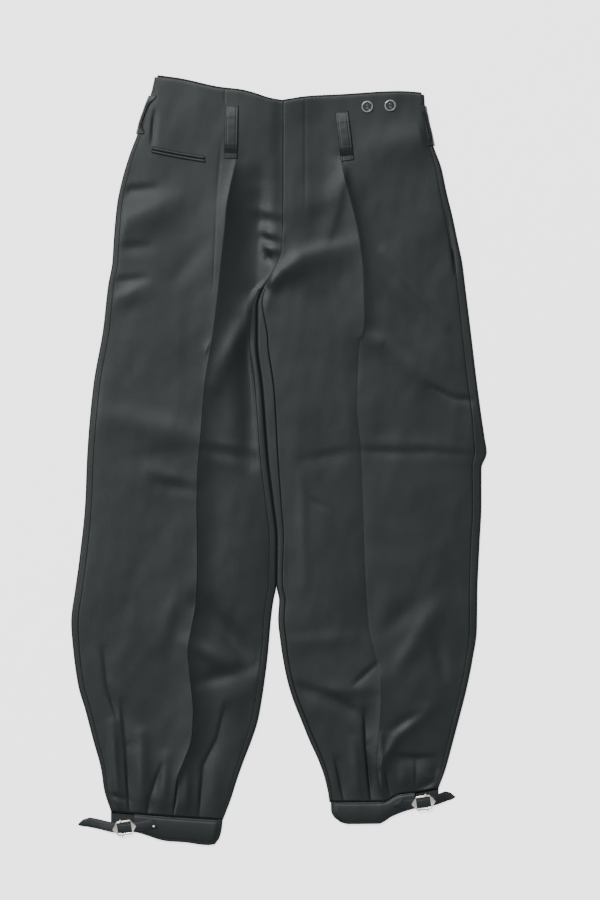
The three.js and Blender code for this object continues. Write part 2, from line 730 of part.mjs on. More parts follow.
function cuff(which, face, backEnd, frontEnd, edge, bottom) {
  const low = through(table(['y', 'low'], bottom), 'low');
  const fold = through(table(['y', 'x'], edge.map(([down, x]) => [-down, x])), 'x');
  const end = which.levels[which.levels.length - 1];
  const sideCentre = which.side(end.outer) + which.inward * EDGE_REACH;
  const inset = EDGE_REACH + HALF_GAP;
  const hemCentre = fold(0) - which.inward * inset;
  const hemShares = face[face.length - 1]
    .map((p) => (p.x - hemCentre) / (frontEnd - hemCentre))
    .filter((share) => share > END_SHARE && share < 1 - END_SHARE);
  const shares = [0, ...hemShares.reverse(), 1];
  const layer = (depth) => CUFF_ROWS.map((down) => {
    const centre = fold(-down) - which.inward * inset;
    const reach = EDGE_REACH - depth;
    const rise = EDGE_HEIGHT / 2 - depth;
    const turn = TURN.slice(1, -1).reverse().map((share) => [
      centre + which.inward * reach * Math.sin(Math.PI * share),
      EDGE_HEIGHT / 2 + rise * Math.cos(Math.PI * share),
    ]);
    const section = [
      [backEnd, depth],
      ...spread(sideCentre, centre, FLOOR_COLUMNS).map((x) => [x, depth]),
      ...turn,
      ...shares.map((share) => [mix(centre, frontEnd, share), EDGE_HEIGHT - depth]),
    ];
    return section.map(([x, z]) => new THREE.Vector3(x, mix(which.hem(x) - GAP, low(x), down), z));
  });
  return wall(layer(0), layer(CLOTH));
}

// ---- Cuff straps ----
// Sewn on the front of the band, through the buckle and out past the leg. z is the underside.
const STRAP_COLUMNS = ['x', 'y', 'z', 'left', 'right'];
const RIGHT_STRAP = table(STRAP_COLUMNS, [
  [-271, -487.6, 0, -3.4, 5.4],
  [-265, -487.8, 0, 2.6, STRAP_HALF],
  [-256, -488.8, 0.3, STRAP_HALF, STRAP_HALF],
  [-242, -491.6, 1.4, STRAP_HALF, STRAP_HALF],
  [-233, -493.8, 3.2, STRAP_HALF, STRAP_HALF],
  [-226, -495.4, 4.8, STRAP_HALF, STRAP_HALF],
  [-218, -496.6, 5.6, STRAP_HALF, STRAP_HALF],
  [-209, -496.8, 5.8, STRAP_HALF, STRAP_HALF],
  [-198, -495.6, 5.8, STRAP_HALF, STRAP_HALF],
  [-184, -492.8, 5.6, STRAP_HALF, STRAP_HALF],
  [-171, -490.2, 5.6, STRAP_HALF, STRAP_HALF],
  [-166, -489.4, 5.6, -1.5, STRAP_HALF],
  [-164, -489.2, 5.6, -5.2, STRAP_HALF - 0.3],
]);
const LEFT_STRAP = table(STRAP_COLUMNS, [
  [237, -450.6, 0, 5, -3.2],
  [232, -451.8, 0, STRAP_HALF, 3.4],
  [226, -453.4, 0.6, STRAP_HALF, STRAP_HALF],
  [219, -456, 2.6, STRAP_HALF, STRAP_HALF],
  [212, -458.4, 4.6, STRAP_HALF, STRAP_HALF],
  [204, -460.8, 5.6, STRAP_HALF, STRAP_HALF],
  [195, -462.6, 5.8, STRAP_HALF, STRAP_HALF],
  [184, -463.8, 5.8, STRAP_HALF, STRAP_HALF],
  [172, -463.6, 5.6, STRAP_HALF, STRAP_HALF],
  [164, -462.4, 5.6, STRAP_HALF, STRAP_HALF],
  [158.6, -461.2, 5.6, STRAP_HALF, -1.2],
  [156.4, -460.8, 5.6, STRAP_HALF - 0.3, -5],
]);

// ---- Buckles ----
// A six-sided frame over the strap, and a bar under it whose ends hook over the frame.
const FRAME = { halfLength: 16.5, halfHeight: 10, shoulder: 8.8, openLength: 9.4, openHeight: 7.2 };
const FRAME_Z = 7.9;
const FRAME_THICKNESS = 1.8;
const FRAME_BEVEL = 0.4;
const BAR = { out: 4, width: 2, low: 3.7, thick: 1.5, hook: 1.2, end: 11.6, back: 8 };

function polygon(points, Type = THREE.Shape) {
  return new Type(points.map(([x, y]) => new THREE.Vector2(x, y)));
}

function buckleFrame(turn, x, y) {
  const { halfLength, halfHeight, shoulder, openLength, openHeight } = FRAME;
  const outline = polygon([
    [halfLength, 0],
    [shoulder, halfHeight],
    [-shoulder, halfHeight],
    [-halfLength, 0],
    [-shoulder, -halfHeight],
    [shoulder, -halfHeight],
  ]);
  outline.holes.push(polygon([
    [openLength, openHeight],
    [openLength, -openHeight],
    [-openLength, -openHeight],
    [-openLength, openHeight],
  ], THREE.Path));
  const geometry = new THREE.ExtrudeGeometry(outline, {
    depth: FRAME_THICKNESS - 2 * FRAME_BEVEL,
    bevelEnabled: true,
    bevelThickness: FRAME_BEVEL,
    bevelSize: FRAME_BEVEL,
    bevelOffset: -FRAME_BEVEL,
    bevelSegments: 1,
  });
  return geometry.translate(0, 0, FRAME_Z + FRAME_BEVEL).rotateZ(turn).translate(x, y, 0);
}

function buckleBar(turn, x, y, out) {
  const { width, low, thick, hook, end, back } = BAR;
  const inside = end - hook;
  const top = FRAME_Z + FRAME_THICKNESS + GAP;
  const profile = polygon([
    [-end, low],
    [end, low],
    [end, top + hook],
    [back, top + hook],
    [back, top],
    [inside, top],
    [inside, low + thick],
    [-inside, low + thick],
    [-inside, top],
    [-back, top],
    [-back, top + hook],
    [-end, top + hook],
  ]);
  const geometry = new THREE.ExtrudeGeometry(profile, { depth: width, bevelEnabled: false });
  geometry.rotateX(Math.PI / 2).rotateZ(Math.PI / 2).translate(out - width / 2, 0, 0);
  return geometry.rotateZ(turn).translate(x, y, 0);
}

// The tab that holds the buckle: sewn on the back of the band and turned up round the bar.
const TAB = { low: CLOTH + GAP, thick: 1.4, tail: 9, lip: 2, top: 5, half: 6 };

function buckleTab(turn, x, y, out) {
  const { low, thick, tail, lip, top, half } = TAB;
  const outwards = Math.sign(out);
  const near = out - outwards * (BAR.width / 2 + GAP);
  const profile = polygon([
    [out + outwards * tail, low],
    [near - outwards * lip, low],
    [near - outwards * thick, top],
    [near, top],
    [near, low + thick],
    [out + outwards * tail, low + thick],
  ]);
  const geometry = new THREE.ExtrudeGeometry(profile, { depth: 2 * half, bevelEnabled: false });
  return geometry.rotateX(Math.PI / 2).translate(0, half, 0).rotateZ(turn).translate(x, y, 0);
}

// ---- Materials ----
function material(color, roughness, metalness = 0) {
  return new THREE.MeshStandardMaterial({ color, roughness, metalness });
}

const twill = () => material(0x343a3a, 0.75);
const webbing = () => material(0x26282d, 0.8);
const silver = () => material(0xc9c6b4, 0.3, 1);

// ---- The garment ----
const pants = new THREE.Group();

function add(name, geometry, finish) {
  const mesh = new THREE.Mesh(geometry, finish);
  mesh.name = name;
  pants.add(mesh);
  return mesh;
}

add('front_right', frontPanel(RIGHT_FACE), twill());
add('front_left', frontPanel(LEFT_FACE), twill());
add('back_right', backPanel(RIGHT_LEG), twill());
add('back_left', backPanel(LEFT_LEG), twill());

// A front loop has its two ends, a side loop the heights of its ends along the leg's edge.
table(['side', 'top', 'bottom'], [
  ['right', [-63.5, 478], [-64.8, 407]],
  ['left', [84.5, 470], [92.5, 404]],
]).forEach(({ side, top, bottom }) => {
  add(`loop_front_${side}`, frontLoop(top, bottom), twill());
});
table(['side', 'which', 'top', 'bottom'], [
  ['right', RIGHT_LEG, 492, 440],
  ['left', LEFT_LEG, 478, 424],
]).forEach(({ side, which, top, bottom }) => {
  add(`loop_side_${side}`, sideLoop(which, top, bottom), twill());
});

const WELT_STEP = (WELT_HEIGHT + WELT_SLIT) / 2;
add('pocket_welt_upper', welt(WELT_STEP), twill());
add('pocket_welt_lower', welt(-WELT_STEP), twill());

table(['name', 'x', 'y'], [
  ['outer', 150, 478],
  ['inner', 119, 476.5],
]).forEach(({ name, x, y }) => {
  const highest = Math.max(...[-1, 0, 1].map((step) => seat(x + step * BUTTON_RADIUS, y)));
  add(`button_${name}`, button(), material(0x4a4d50, 0.25)).position.set(x, y, highest + GAP);
});

const RIGHT_CUFF_EDGE = [[0, -75.6], [0.4, -77], [0.75, -80], [1, -86]];
const RIGHT_CUFF_BOTTOM = [
  [-82, -518],
  [-96, -519.75],
  [-128, -516],
  [-151, -514.4],
  [-197, -502],
  [-227, -500],
];
const LEFT_CUFF_EDGE = [[0, 69.5], [0.5, 70], [0.8, 73.5], [1, 82]];
const LEFT_CUFF_BOTTOM = [
  [216, -459],
  [184, -470],
  [167, -475.2],
  [151, -482],
  [143, -487.4],
  [135, -491],
  [94, -491.4],
  [80, -488],
];
const rightCuff = cuff(RIGHT_LEG, RIGHT_FACE, -227, -196, RIGHT_CUFF_EDGE, RIGHT_CUFF_BOTTOM);
const leftCuff = cuff(LEFT_LEG, LEFT_FACE, 215.5, 184, LEFT_CUFF_EDGE, LEFT_CUFF_BOTTOM);
add('cuff_right', rightCuff, twill());
add('cuff_left', leftCuff, twill());

add('strap_right', ribbon(RIGHT_STRAP, STRAP_THICKNESS), webbing());
add('strap_left', ribbon(LEFT_STRAP, STRAP_THICKNESS), webbing());

// out is the bar's place along the buckle, on the side of the strap's free end.
table(['name', 'turn', 'x', 'y', 'out'], [
  ['right', THREE.MathUtils.degToRad(9.5), -208.5, -496.2, -BAR.out],
  ['left', THREE.MathUtils.degToRad(8), 195, -462.4, BAR.out],
]).forEach(({ name, turn, x, y, out }) => {
  add(`buckle_frame_${name}`, buckleFrame(turn, x, y), silver());
  add(`buckle_bar_${name}`, buckleBar(turn, x, y, out), silver());
  add(`buckle_tab_${name}`, buckleTab(turn, x, y, out), webbing());
});

export default pants;
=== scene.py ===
# Tobi work pants, laid flat with the front up: full trousers gathered into strapped cuffs.
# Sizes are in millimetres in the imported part's frame, and become metres as a mesh is made.
import math

import bmesh
import bpy
import numpy as np
from mathutils import Matrix, Vector, noise


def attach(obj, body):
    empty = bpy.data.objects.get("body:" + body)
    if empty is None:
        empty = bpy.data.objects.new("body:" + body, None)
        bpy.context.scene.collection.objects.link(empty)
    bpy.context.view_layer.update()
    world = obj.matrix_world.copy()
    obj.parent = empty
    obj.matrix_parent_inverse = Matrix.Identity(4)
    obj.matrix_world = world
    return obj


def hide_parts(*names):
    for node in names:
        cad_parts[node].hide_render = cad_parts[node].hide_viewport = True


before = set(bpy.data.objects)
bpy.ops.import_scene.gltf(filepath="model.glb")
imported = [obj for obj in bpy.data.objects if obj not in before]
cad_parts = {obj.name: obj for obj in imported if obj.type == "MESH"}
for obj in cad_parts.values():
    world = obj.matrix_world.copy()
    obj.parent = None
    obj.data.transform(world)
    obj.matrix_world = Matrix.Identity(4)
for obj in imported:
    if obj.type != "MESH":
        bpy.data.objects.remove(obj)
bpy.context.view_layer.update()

# ---- Camera ----
# It looks straight down on the garment, from far enough that the legs keep their widths.
MM = 0.001
VIEW_HEIGHT = 1215
VIEW_MIDDLE = (28.35, 13.5)
CAMERA_AWAY = 9000
SENSOR = 36

camera = bpy.data.objects.new("camera", bpy.data.cameras.new("camera"))
bpy.context.scene.collection.objects.link(camera)
bpy.context.scene.camera = camera
camera.data.sensor_fit = "VERTICAL"
camera.data.sensor_height = SENSOR
camera.data.lens = SENSOR * CAMERA_AWAY / VIEW_HEIGHT
camera.location = (VIEW_MIDDLE[0] * MM, VIEW_MIDDLE[1] * MM, CAMERA_AWAY * MM)

# ---- Front panels ----
# Two legs cut in dark twill with a pressed crease down each. The left one laps over the right
# one at the fly, and both end in pleats at the cuffs. Their creases and wrinkles lie as worn in.
CLOTH = 1.0
EDGE_HEIGHT, EDGE_REACH = 5.2, 3.0
CROWN, CROWN_RUN = 2.6, 45
CALM_EDGE = 16
CROTCH_Y = 229.5
SEAM_GAP, SEAM_DIP, SEAM_WIDTH = 0.03, 0.14, 1.3
SIDE_WORN, WORN_FROM, WORN_TO = 0.3, -250, -150
INSEAM_WORN, INSEAM_TOP = 0.5, 20
HEM_DIP = 0.4
WAIST_TURN, WAIST_TURN_WIDTH = 0.5, 1.2
FLY_LAP, FLY_FOOT, FLY_HOOK = 9, 248, 14
FLY_STEP, FLY_FLAT, FLY_FADE = 1.5, 2, 50
FLY_RISE_FROM, FLY_RISE_TO = 232, 264
FLY_EDGE, FLY_EDGE_WIDTH = 0.4, 0.8

# Height up the garment, the leg's folded outer edge, and the side seam's distance inside it.
RIGHT_SIDE = [
    (519, -167.4, 3.4), (500, -171.5, 3.4), (474, -180, 3.6), (459, -185.3, 4),
    (442, -190.5, 5), (410, -202.5, 6), (378, -212, 7), (346, -218.7, 7),
    (305, -222.8, 7.5), (265, -225.5, 8), (236, -230.9, 8), (177, -237.6, 9),
    (99, -251.1, 9), (7, -259.2, 9), (-58, -261.9, 9), (-136, -270, 10),
    (-175, -275.4, 10), (-219, -280.8, 10), (-256, -278.1, 9), (-304, -271.4, 8),
    (-337, -261.9, 8), (-378, -251.1, 7), (-418, -240.3, 6), (-445, -236.3, 5),
    (-475, -226.8, 4),
]
LEFT_SIDE = [
    (496, 195.9, 3.4), (475, 197.4, 3.4), (459, 199.9, 3.8), (442, 203.9, 5),
    (425, 208.4, 6), (394, 219.6, 8), (362, 226.4, 9), (329, 234.5, 10),
    (297, 241.2, 11), (265, 247.9, 11), (232, 252, 11), (177, 258.8, 12),
    (99, 268.2, 13), (59, 273.6, 13), (30, 277.9, 15), (9.5, 280.8, 17),
    (-11, 273.6, 13), (-58, 273.6, 12), (-115, 270.9, 12), (-175, 268.2, 11),
    (-229, 267.4, 10), (-270, 261.5, 9), (-310, 253.4, 8), (-337, 246.6, 8),
    (-378, 235.8, 7), (-418, 225, 6), (-443, 215.6, 4),
]
# Height, the middle edge of the right and of the left leg, and each inseam's distance inside.
MIDDLE = [
    (486, 4, 4, 3.4, 3.4), (286, 4, 4, 3.4, 3.4), (254, -9.5, -9.5, 3.4, 3.4),
    (229.5, -23, -23, 3.4, 3.4), (206, -29.7, -29.7, 6, 7), (158, -29.7, -29.7, 10, 15),
    (99, -23, -23, 10, 16), (-3, -14.9, -14.9, 10, 14), (-60, -8, -8, 10, 11),
    (-108, -3, -3, 10, 9), (-170, -3.5, -3.5, 10, 8), (-189, -7.2, 0, 10, 8),
    (-215, -10.6, -1.4, 10, 8), (-243, -13, 1.4, 9, 8), (-270, -15.6, 5.4, 9, 7),
    (-297, -19, 10.8, 9, 7), (-324, -23, 18.9, 9, 7), (-351, -28, 29.7, 9, 7),
    (-378, -36.6, 40.5, 8, 7), (-405, -47, 52.7, 7, 6), (-432, -56.6, 62.1, 6, 5),
    (-459, -65.2, 67.5, 5, 4), (-486, -75.6, 69.5, 4, 4),
]
# Height, the pressed crease's place, how high it stands, its two sides' widths and the
# hollow beside it. A negative height is a valley.
RIGHT_CREASE = [
    (520, -64.8, 0, 14, 6, 0), (430, -60, 0, 10, 6, 0), (409, -58, 0.2, 9, 6, 0),
    (396, -60, 1.8, 9, 8, 0), (369, -66.2, 3.2, 9, 10, 0), (339, -71.6, 3.8, 11, 12, 0),
    (309, -73.6, 3.8, 17, 15, 0), (279, -76.8, 3.6, 26, 16, 0), (220, -82.8, 3.4, 34, 17, 0),
    (161, -90.5, 2.8, 36, 17, 0), (131, -95.6, 2.4, 34, 15, 0.2), (101, -100.2, 2.1, 32, 13, 0.4),
    (42, -104.8, 2, 28, 12, 0.6), (-18, -109.6, 1.8, 30, 12, 0.8), (-77, -110.7, 1.8, 30, 11, 1),
    (-136, -110.2, 1.9, 30, 9, 1.2), (-190, -111.8, 2, 28, 8, 1.2), (-225, -117.5, 2.2, 26, 8, 0.6),
    (-255, -122.6, 2.6, 26, 8, 0.8), (-285, -120.6, 2.9, 26, 8, 1), (-344, -115.6, 3.2, 28, 8, 1.4),
    (-374, -117.4, 3.4, 26, 8, 1.2), (-404, -127.4, 3.4, 20, 7, 1), (-433, -138, 2.8, 14, 5, 0.6),
    (-480, -142, 2.4, 10, 5, 0.4),
]
LEFT_CREASE = [
    (500, 86, 0, 14, 10, 0), (412, 82, 0, 10, 10, 0), (398, 84, 1.4, 9, 9, 0),
    (369, 91.8, 2.8, 10, 8, 0), (339, 99.6, 3, 11, 9, 0), (309, 106.6, 2.9, 12, 9, 0),
    (279, 111.2, 2.4, 14, 10, 0), (250, 113.8, 1.9, 17, 11, 0), (190, 115.4, 1.1, 20, 12, 0),
    (151, 108, -0.5, 20, 20, 0), (65, 105.3, -0.9, 22, 30, 0), (20, 110, -1.2, 24, 34, 0),
    (-54, 113, -1.6, 25, 40, 0), (-148, 116, -1.8, 25, 44, 0), (-225, 121, -1.9, 22, 36, 0),
    (-262, 130, -1.4, 20, 26, 0), (-300, 137, 0.6, 12, 20, 0), (-344, 136, 1.6, 9, 24, 0),
    (-409, 132, 2, 8, 24, 0), (-462, 140.4, 1.4, 8, 16, 0),
]
# Columns and rows of the 600 x 900 view where each fold starts and ends, its height in
# millimetres, then its reach to the right of a downward run or above a rightward one, its reach
# to the other side and its sideways bow, in columns. Soft folds are rounded, pleats come to an
# edge, and a fold without a bow is straight.
SOFT_FOLDS = [
    # right leg, waist to crotch
    (154, 112, 152, 142, -1.2, 5, 2.5), (119, 191, 154, 188, -1.2, 5, 9),
    (124, 224, 172, 200, 1.6, 15, 22), (114, 281, 144, 278, -0.7, 4, 7),
    (116, 299, 142, 288, 1.1, 8, 16), (208, 242, 172, 280, -0.7, 13, 14),
    (120, 248, 148, 246, -0.8, 6, 10), (259, 186, 255, 288, -4.2, 14, 32),
    (283, 70, 282, 232, -1.0, 1.6, 12), (280, 214, 250, 208, 0.6, 6, 8),
    (281, 224, 258, 219, -0.7, 6, 7), (280, 236, 261, 230, 1.0, 5, 6),
    (277, 244, 261, 238, -1.0, 4, 5), (278, 252, 265, 247, 1.3, 4, 4),
    (271, 263, 266, 254, -2.4, 5, 6),
    # right leg, crotch to knee
    (262, 300, 217, 382, 2.6, 15, 15, -3), (250, 322, 249, 462, -3.0, 13, 17),
    (95, 414, 206, 444, 1.6, 20, 24, 3), (120, 460, 196, 451, -0.5, 12, 17),
    (150, 471, 192, 482, 0.6, 10, 9), (158, 484, 194, 490, -0.6, 8, 9),
    (204, 441, 258, 449, 0.45, 6, 5), (204, 450, 258, 459, -0.45, 5, 7),
    (202, 458, 256, 470, 0.4, 7, 9),
    # right leg, knee to cuff
    (178, 592, 160, 642, 1.0, 13, 12), (198, 604, 250, 664, -2.6, 17, 12, 3),
    (188, 642, 228, 664, 1.4, 11, 12), (244, 670, 196, 682, -1.3, 11, 10),
    (250, 690, 212, 706, 0.4, 12, 14), (112, 722, 118, 805, 1.1, 6, 6),
    (141, 735, 141, 806, 1.8, 11, 10), (166, 757, 163, 806, 1.4, 8, 8),
    (187, 772, 186, 810, 1.2, 7, 7), (216, 765, 212, 808, 0.6, 11, 11),
    (107, 793, 129, 799, -0.9, 2, 4), (110, 814, 128, 816, -1.2, 5, 3),
    # left leg, waist to crotch
    (300, 208, 336, 196, 1.2, 28, 16), (344, 172, 337, 210, 1.0, 7, 15),
    (337, 210, 326, 242, 0.8, 8, 14), (266, 290, 281, 273, 2.2, 8, 12),
    (281, 273, 304, 257, 2.3, 12, 26), (304, 257, 350, 246, 1.8, 13, 26),
    (300, 300, 350, 300, -0.4, 20, 30), (372, 152, 452, 128, 1.5, 25, 28),
    # left leg, crotch to knee
    (384, 252, 446, 326, 0.9, 7, 8), (372, 282, 440, 354, -0.9, 14, 15),
    (364, 337, 386, 344, 1.0, 11, 14), (386, 344, 431, 387, 1.2, 11, 15),
    (303, 460, 350, 451, -0.6, 6, 12), (362, 442, 450, 445, 0.35, 9, 7),
    (362, 450, 428, 451, -0.55, 3, 8, -1), (420, 450, 486, 455, -0.4, 4, 7, -1),
    (301, 478, 304, 585, 0.6, 8, 8), (312, 501, 327, 508, -0.4, 4, 5),
    # left leg, knee to cuff
    (285, 643, 352, 637, 0.5, 10, 12), (296, 687, 330, 697, -1.0, 8, 13),
    (330, 697, 358, 713, -1.2, 8, 13), (322, 692, 374, 688, 0.7, 11, 9),
    (412, 604, 386, 630, -1.1, 13, 13), (438, 602, 417, 637, 1.1, 15, 12),
    (417, 637, 397, 671, 1.2, 14, 11), (436, 640, 446, 676, -0.9, 8, 9),
    (420, 713, 393, 729, -1.2, 7, 7), (433, 706, 413, 721, 0.8, 10, 10),
    (413, 721, 395, 739, 1.1, 9, 9), (395, 739, 382, 765, 1.3, 7, 7),
    (394, 755, 431, 756, -1.5, 2.5, 14, -1), (434, 764, 444, 786, -1.2, 9, 9),
    (354, 742, 358, 798, 1.1, 8, 8), (328, 770, 332, 798, 0.8, 7, 7),
    (381, 735, 381, 800, 1.0, 5, 4), (403, 770, 404, 795, 0.8, 9, 8),
    (418, 789, 438, 781, -1.3, 5, 3),
]
SHARP_PLEATS = [
    # right leg
    (103, 650, 108, 690, -1.4, 7, 2.2), (108, 690, 117, 716, -1.8, 7, 1.8),
    (121, 702, 126, 745, -1.8, 8, 1.6), (126, 745, 129, 812, -2.4, 8, 1.4),
    (161, 765, 149, 800, -1.8, 6, 1.4), (149, 800, 147, 815, -2.2, 5, 1.4),
    (178, 783, 174, 815, -2.4, 2.5, 1.4), (225, 706, 217, 738, -1.3, 14, 1.8),
    (217, 738, 203, 766, -1.5, 13, 1.7), (203, 766, 199, 815, -2.2, 11, 1.5),
    (209, 343, 206, 352, 0.7, 2.5, 3), (225, 78, 225, 106, -0.35, 1, 1),
    (221, 142, 217, 200, -0.4, 1.2, 1.2), (217, 200, 213, 288, -0.4, 1.2, 1.2),
    # left leg
    (428, 385, 452, 397, -1.2, 1.8, 6), (452, 397, 480, 401, -1.4, 1.6, 6),
    (376, 664, 354, 684, -1.6, 6, 1.8), (364, 712, 366, 745, -2.6, 8, 1.6),
    (366, 745, 371, 801, -3.8, 8, 1.5), (335, 760, 344, 802, -2.0, 6, 1.4),
    (386, 772, 390, 796, -1.2, 4, 1.6), (415, 760, 415, 786, -0.7, 8, 1),
    (421, 772, 438, 784, 0.5, 1.5, 4), (305, 88, 305, 214, -0.3, 1.4, 1.2),
    (448, 216, 455, 274, -2.4, 2.4, 1.4),
]
VIEW_COLUMN, VIEW_ROW, COLUMN_WIDTH = 279, 460, 1.35
SOFT_LIFT = 1.05


def laid_folds(rows, lift):
    """Rows of folds in whole millimetres in the part's frame."""
    laid = []
    for x0, y0, x1, y1, height, *reaches in rows:
        ends = (x0 - VIEW_COLUMN, VIEW_ROW - y0, x1 - VIEW_COLUMN, VIEW_ROW - y1)
        reach_right, reach_left, bow = (*reaches, 0)[:3]
        laid.append((*[round(end * COLUMN_WIDTH) for end in ends], round(height * lift, 2),
                     *[round(reach * COLUMN_WIDTH, 1) for reach in (reach_right, reach_left, bow)]))
    return laid


FOLDS = laid_folds(SOFT_FOLDS, SOFT_LIFT)
PLEATS = laid_folds(SHARP_PLEATS, 1)


def through(rows, column):
    """A smooth curve through a table's column that never swings past its values."""
    ys = np.array([row[0] for row in rows], float)[::-1]
    vs = np.array([row[column] for row in rows], float)[::-1]
    slope = np.diff(vs) / np.diff(ys)
    before, after = slope[:-1], slope[1:]
    both = before * after
    inner = np.where(both > 0, 2 * both / np.where(both > 0, before + after, 1), 0)
    tangent = np.concatenate([slope[:1], inner, slope[-1:]])

    def value(y):
        y = np.asarray(y, float)
        i = np.clip(np.searchsorted(ys, y) - 1, 0, len(ys) - 2)
        run = ys[i + 1] - ys[i]
        t = np.clip((y - ys[i]) / run, 0, 1)
        flat = t * t * (3 - 2 * t)
        bend = tangent[i] * t * (1 - t) ** 2 - tangent[i + 1] * t * t * (1 - t)
        outside = np.where(y < ys[0], tangent[0] * (y - ys[0]), 0)
        outside = outside + np.where(y > ys[-1], tangent[-1] * (y - ys[-1]), 0)
        return vs[i] + (vs[i + 1] - vs[i]) * flat + run * bend + outside

    return value


def smooth(low, high, value):
    t = np.clip((value - low) / (high - low), 0, 1)
    return t * t * (3 - 2 * t)


def mix(a, b, t):
    return a + (b - a) * t


WAIST_RUN, HEM_RUN = 60, 70


class Leg:
    """One trouser leg: its edges and seams as curves, and the two ends of each of its rows."""

    def __init__(self, side, middle, seam, crease, inward, levels, waist, hem):
        self.inward = inward
        self.side, self.side_seam = through(side, 1), through(side, 2)
        self.middle, self.inseam = through(MIDDLE, middle), through(MIDDLE, seam)
        self.crease, self.crease_height = through(crease, 1), through(crease, 2)
        self.crease_left, self.crease_right = through(crease, 3), through(crease, 4)
        self.crease_sink = through(crease, 5)
        self.levels = levels
        self.waist, self.hem = through(waist, 1), through(hem, 1)

    def row(self, v):
        """Heights of the outer and inner end of the row at v, from the waist, 0, to the hem, 1."""
        shares, outer, inner = zip(*self.levels)
        return np.interp(v, shares, outer), np.interp(v, shares, inner)

    def straight(self, outer, inner, x):
        """Height at x of a straight row between its outer and its inner end."""
        start = self.side(outer)
        return mix(outer, inner, (x - start) / (self.middle(inner) - start))

    def height(self, outer, inner, x):
        """How far up the garment a row lies at x: straight across, or along waist or hem."""
        first, last = self.levels[0], self.levels[-1]
        to_waist = 1 - smooth(0, WAIST_RUN, first[1] - outer)
        to_hem = 1 - smooth(0, HEM_RUN, outer - last[1])
        y = self.straight(outer, inner, x)
        y = y + to_waist * (self.waist(x) - self.straight(first[1], first[2], x))
        return y + to_hem * (self.hem(x) - self.straight(last[1], last[2], x))


RIGHT_LEG = Leg(RIGHT_SIDE, 1, 3, RIGHT_CREASE, 1, [
    (0, 519.75, 486), (0.27, 236, CROTCH_Y), (0.5, 7, 0), (0.69, -219, -215), (1, -475, -486),
], [
    (4, 486), (-12, 489), (-39, 497.5), (-53, 500.6), (-80, 503.8), (-134, 515.4), (-164, 519.55),
], [(-75, -486), (-151, -481), (-227, -475)])
LEFT_LEG = Leg(LEFT_SIDE, 2, 4, LEFT_CREASE, -1, [
    (0, 495, 486), (0.27, 232, CROTCH_Y), (0.5, 9.5, 0), (0.69, -229, -215), (1, -443, -461.7),
], [
    (196, 496), (163, 498), (82, 493.6), (42, 491.6), (4, 486),
], [(215, -443), (186, -448), (162, -451), (140, -461), (69, -461.7)])
LEGS = (("right", RIGHT_LEG), ("left", LEFT_LEG))
SOFT_FALL, SHARP_FALL = 2, 1.2
FOLD_ENDS = 0.45


def folds_at(folds, x, y, sharp):
    """Summed heights of the folds at (x, y). Each is lower towards its two ends."""
    total = np.zeros_like(x)
    for x0, y0, x1, y1, height, reach_right, reach_left, bow in folds:
        length = math.hypot(x1 - x0, y1 - y0)
        run_x, run_y = (x1 - x0) / length, (y1 - y0) / length
        along = (x - x0) * run_x + (y - y0) * run_y
        across = (y - y0) * run_x - (x - x0) * run_y
        t = np.clip(along / length, 0, 1)
        off = across - bow * 4 * t * (1 - t)
        reach = np.where(off > 0, reach_right, reach_left)
        end = (along - t * length) / (reach_right + reach_left)
        away = np.hypot(off / reach, 2 * end)
        shape = np.exp(-SHARP_FALL * away) if sharp else np.exp(-SOFT_FALL * away ** 2)
        total += height * mix(FOLD_ENDS, 1, np.sin(math.pi * t)) * shape
    return total


CREASE_ROUNDING, CREASE_LEAST = 5, 0.05
HOLLOW_AWAY, HOLLOW_WIDTH = 22, 20
PRESSED_HEIGHT, PRESSED_WIDTH = 0.2, 2


def crease_at(leg, x, y):
    """Height of the pressed crease, with its fine ironed edge and the hollow beside it."""
    off = x - leg.crease(y)
    width = np.where(off < 0, leg.crease_left(y), leg.crease_right(y))
    height = leg.crease_height(y)
    ridge = height * np.exp(-np.sqrt(off ** 2 + CREASE_ROUNDING) / width)
    beside = np.exp(-((off - HOLLOW_AWAY) / HOLLOW_WIDTH) ** 2)
    hollow = np.where(off > 0, leg.crease_sink(y) * beside, 0)
    pressed = PRESSED_HEIGHT * np.sign(height) * np.exp(-np.abs(off) / PRESSED_WIDTH)
    return ridge - hollow + pressed * (np.abs(height) > CREASE_LEAST)


# Width and length of the waves, the slice of the noise that they are read from, and height.
WAVES = [(48, 70, 0.3, 0.75), (17, 26, 7.1, 0.2)]


def unevenness(x, y):
    """Slight waves that any worn cloth keeps."""
    spots = list(zip(np.ravel(x), np.ravel(y)))
    return sum(height * np.array([noise.noise((px / wide, py / long, slice_at)) for px, py in spots])
               for wide, long, slice_at, height in WAVES).reshape(np.shape(x))


SEAT_WIDTH, SEAT_FROM, SEAT_TO = 90, CROTCH_Y - 5, CROTCH_Y + 75
HEM_SHARE, HEM_REACH = 0.75, 24


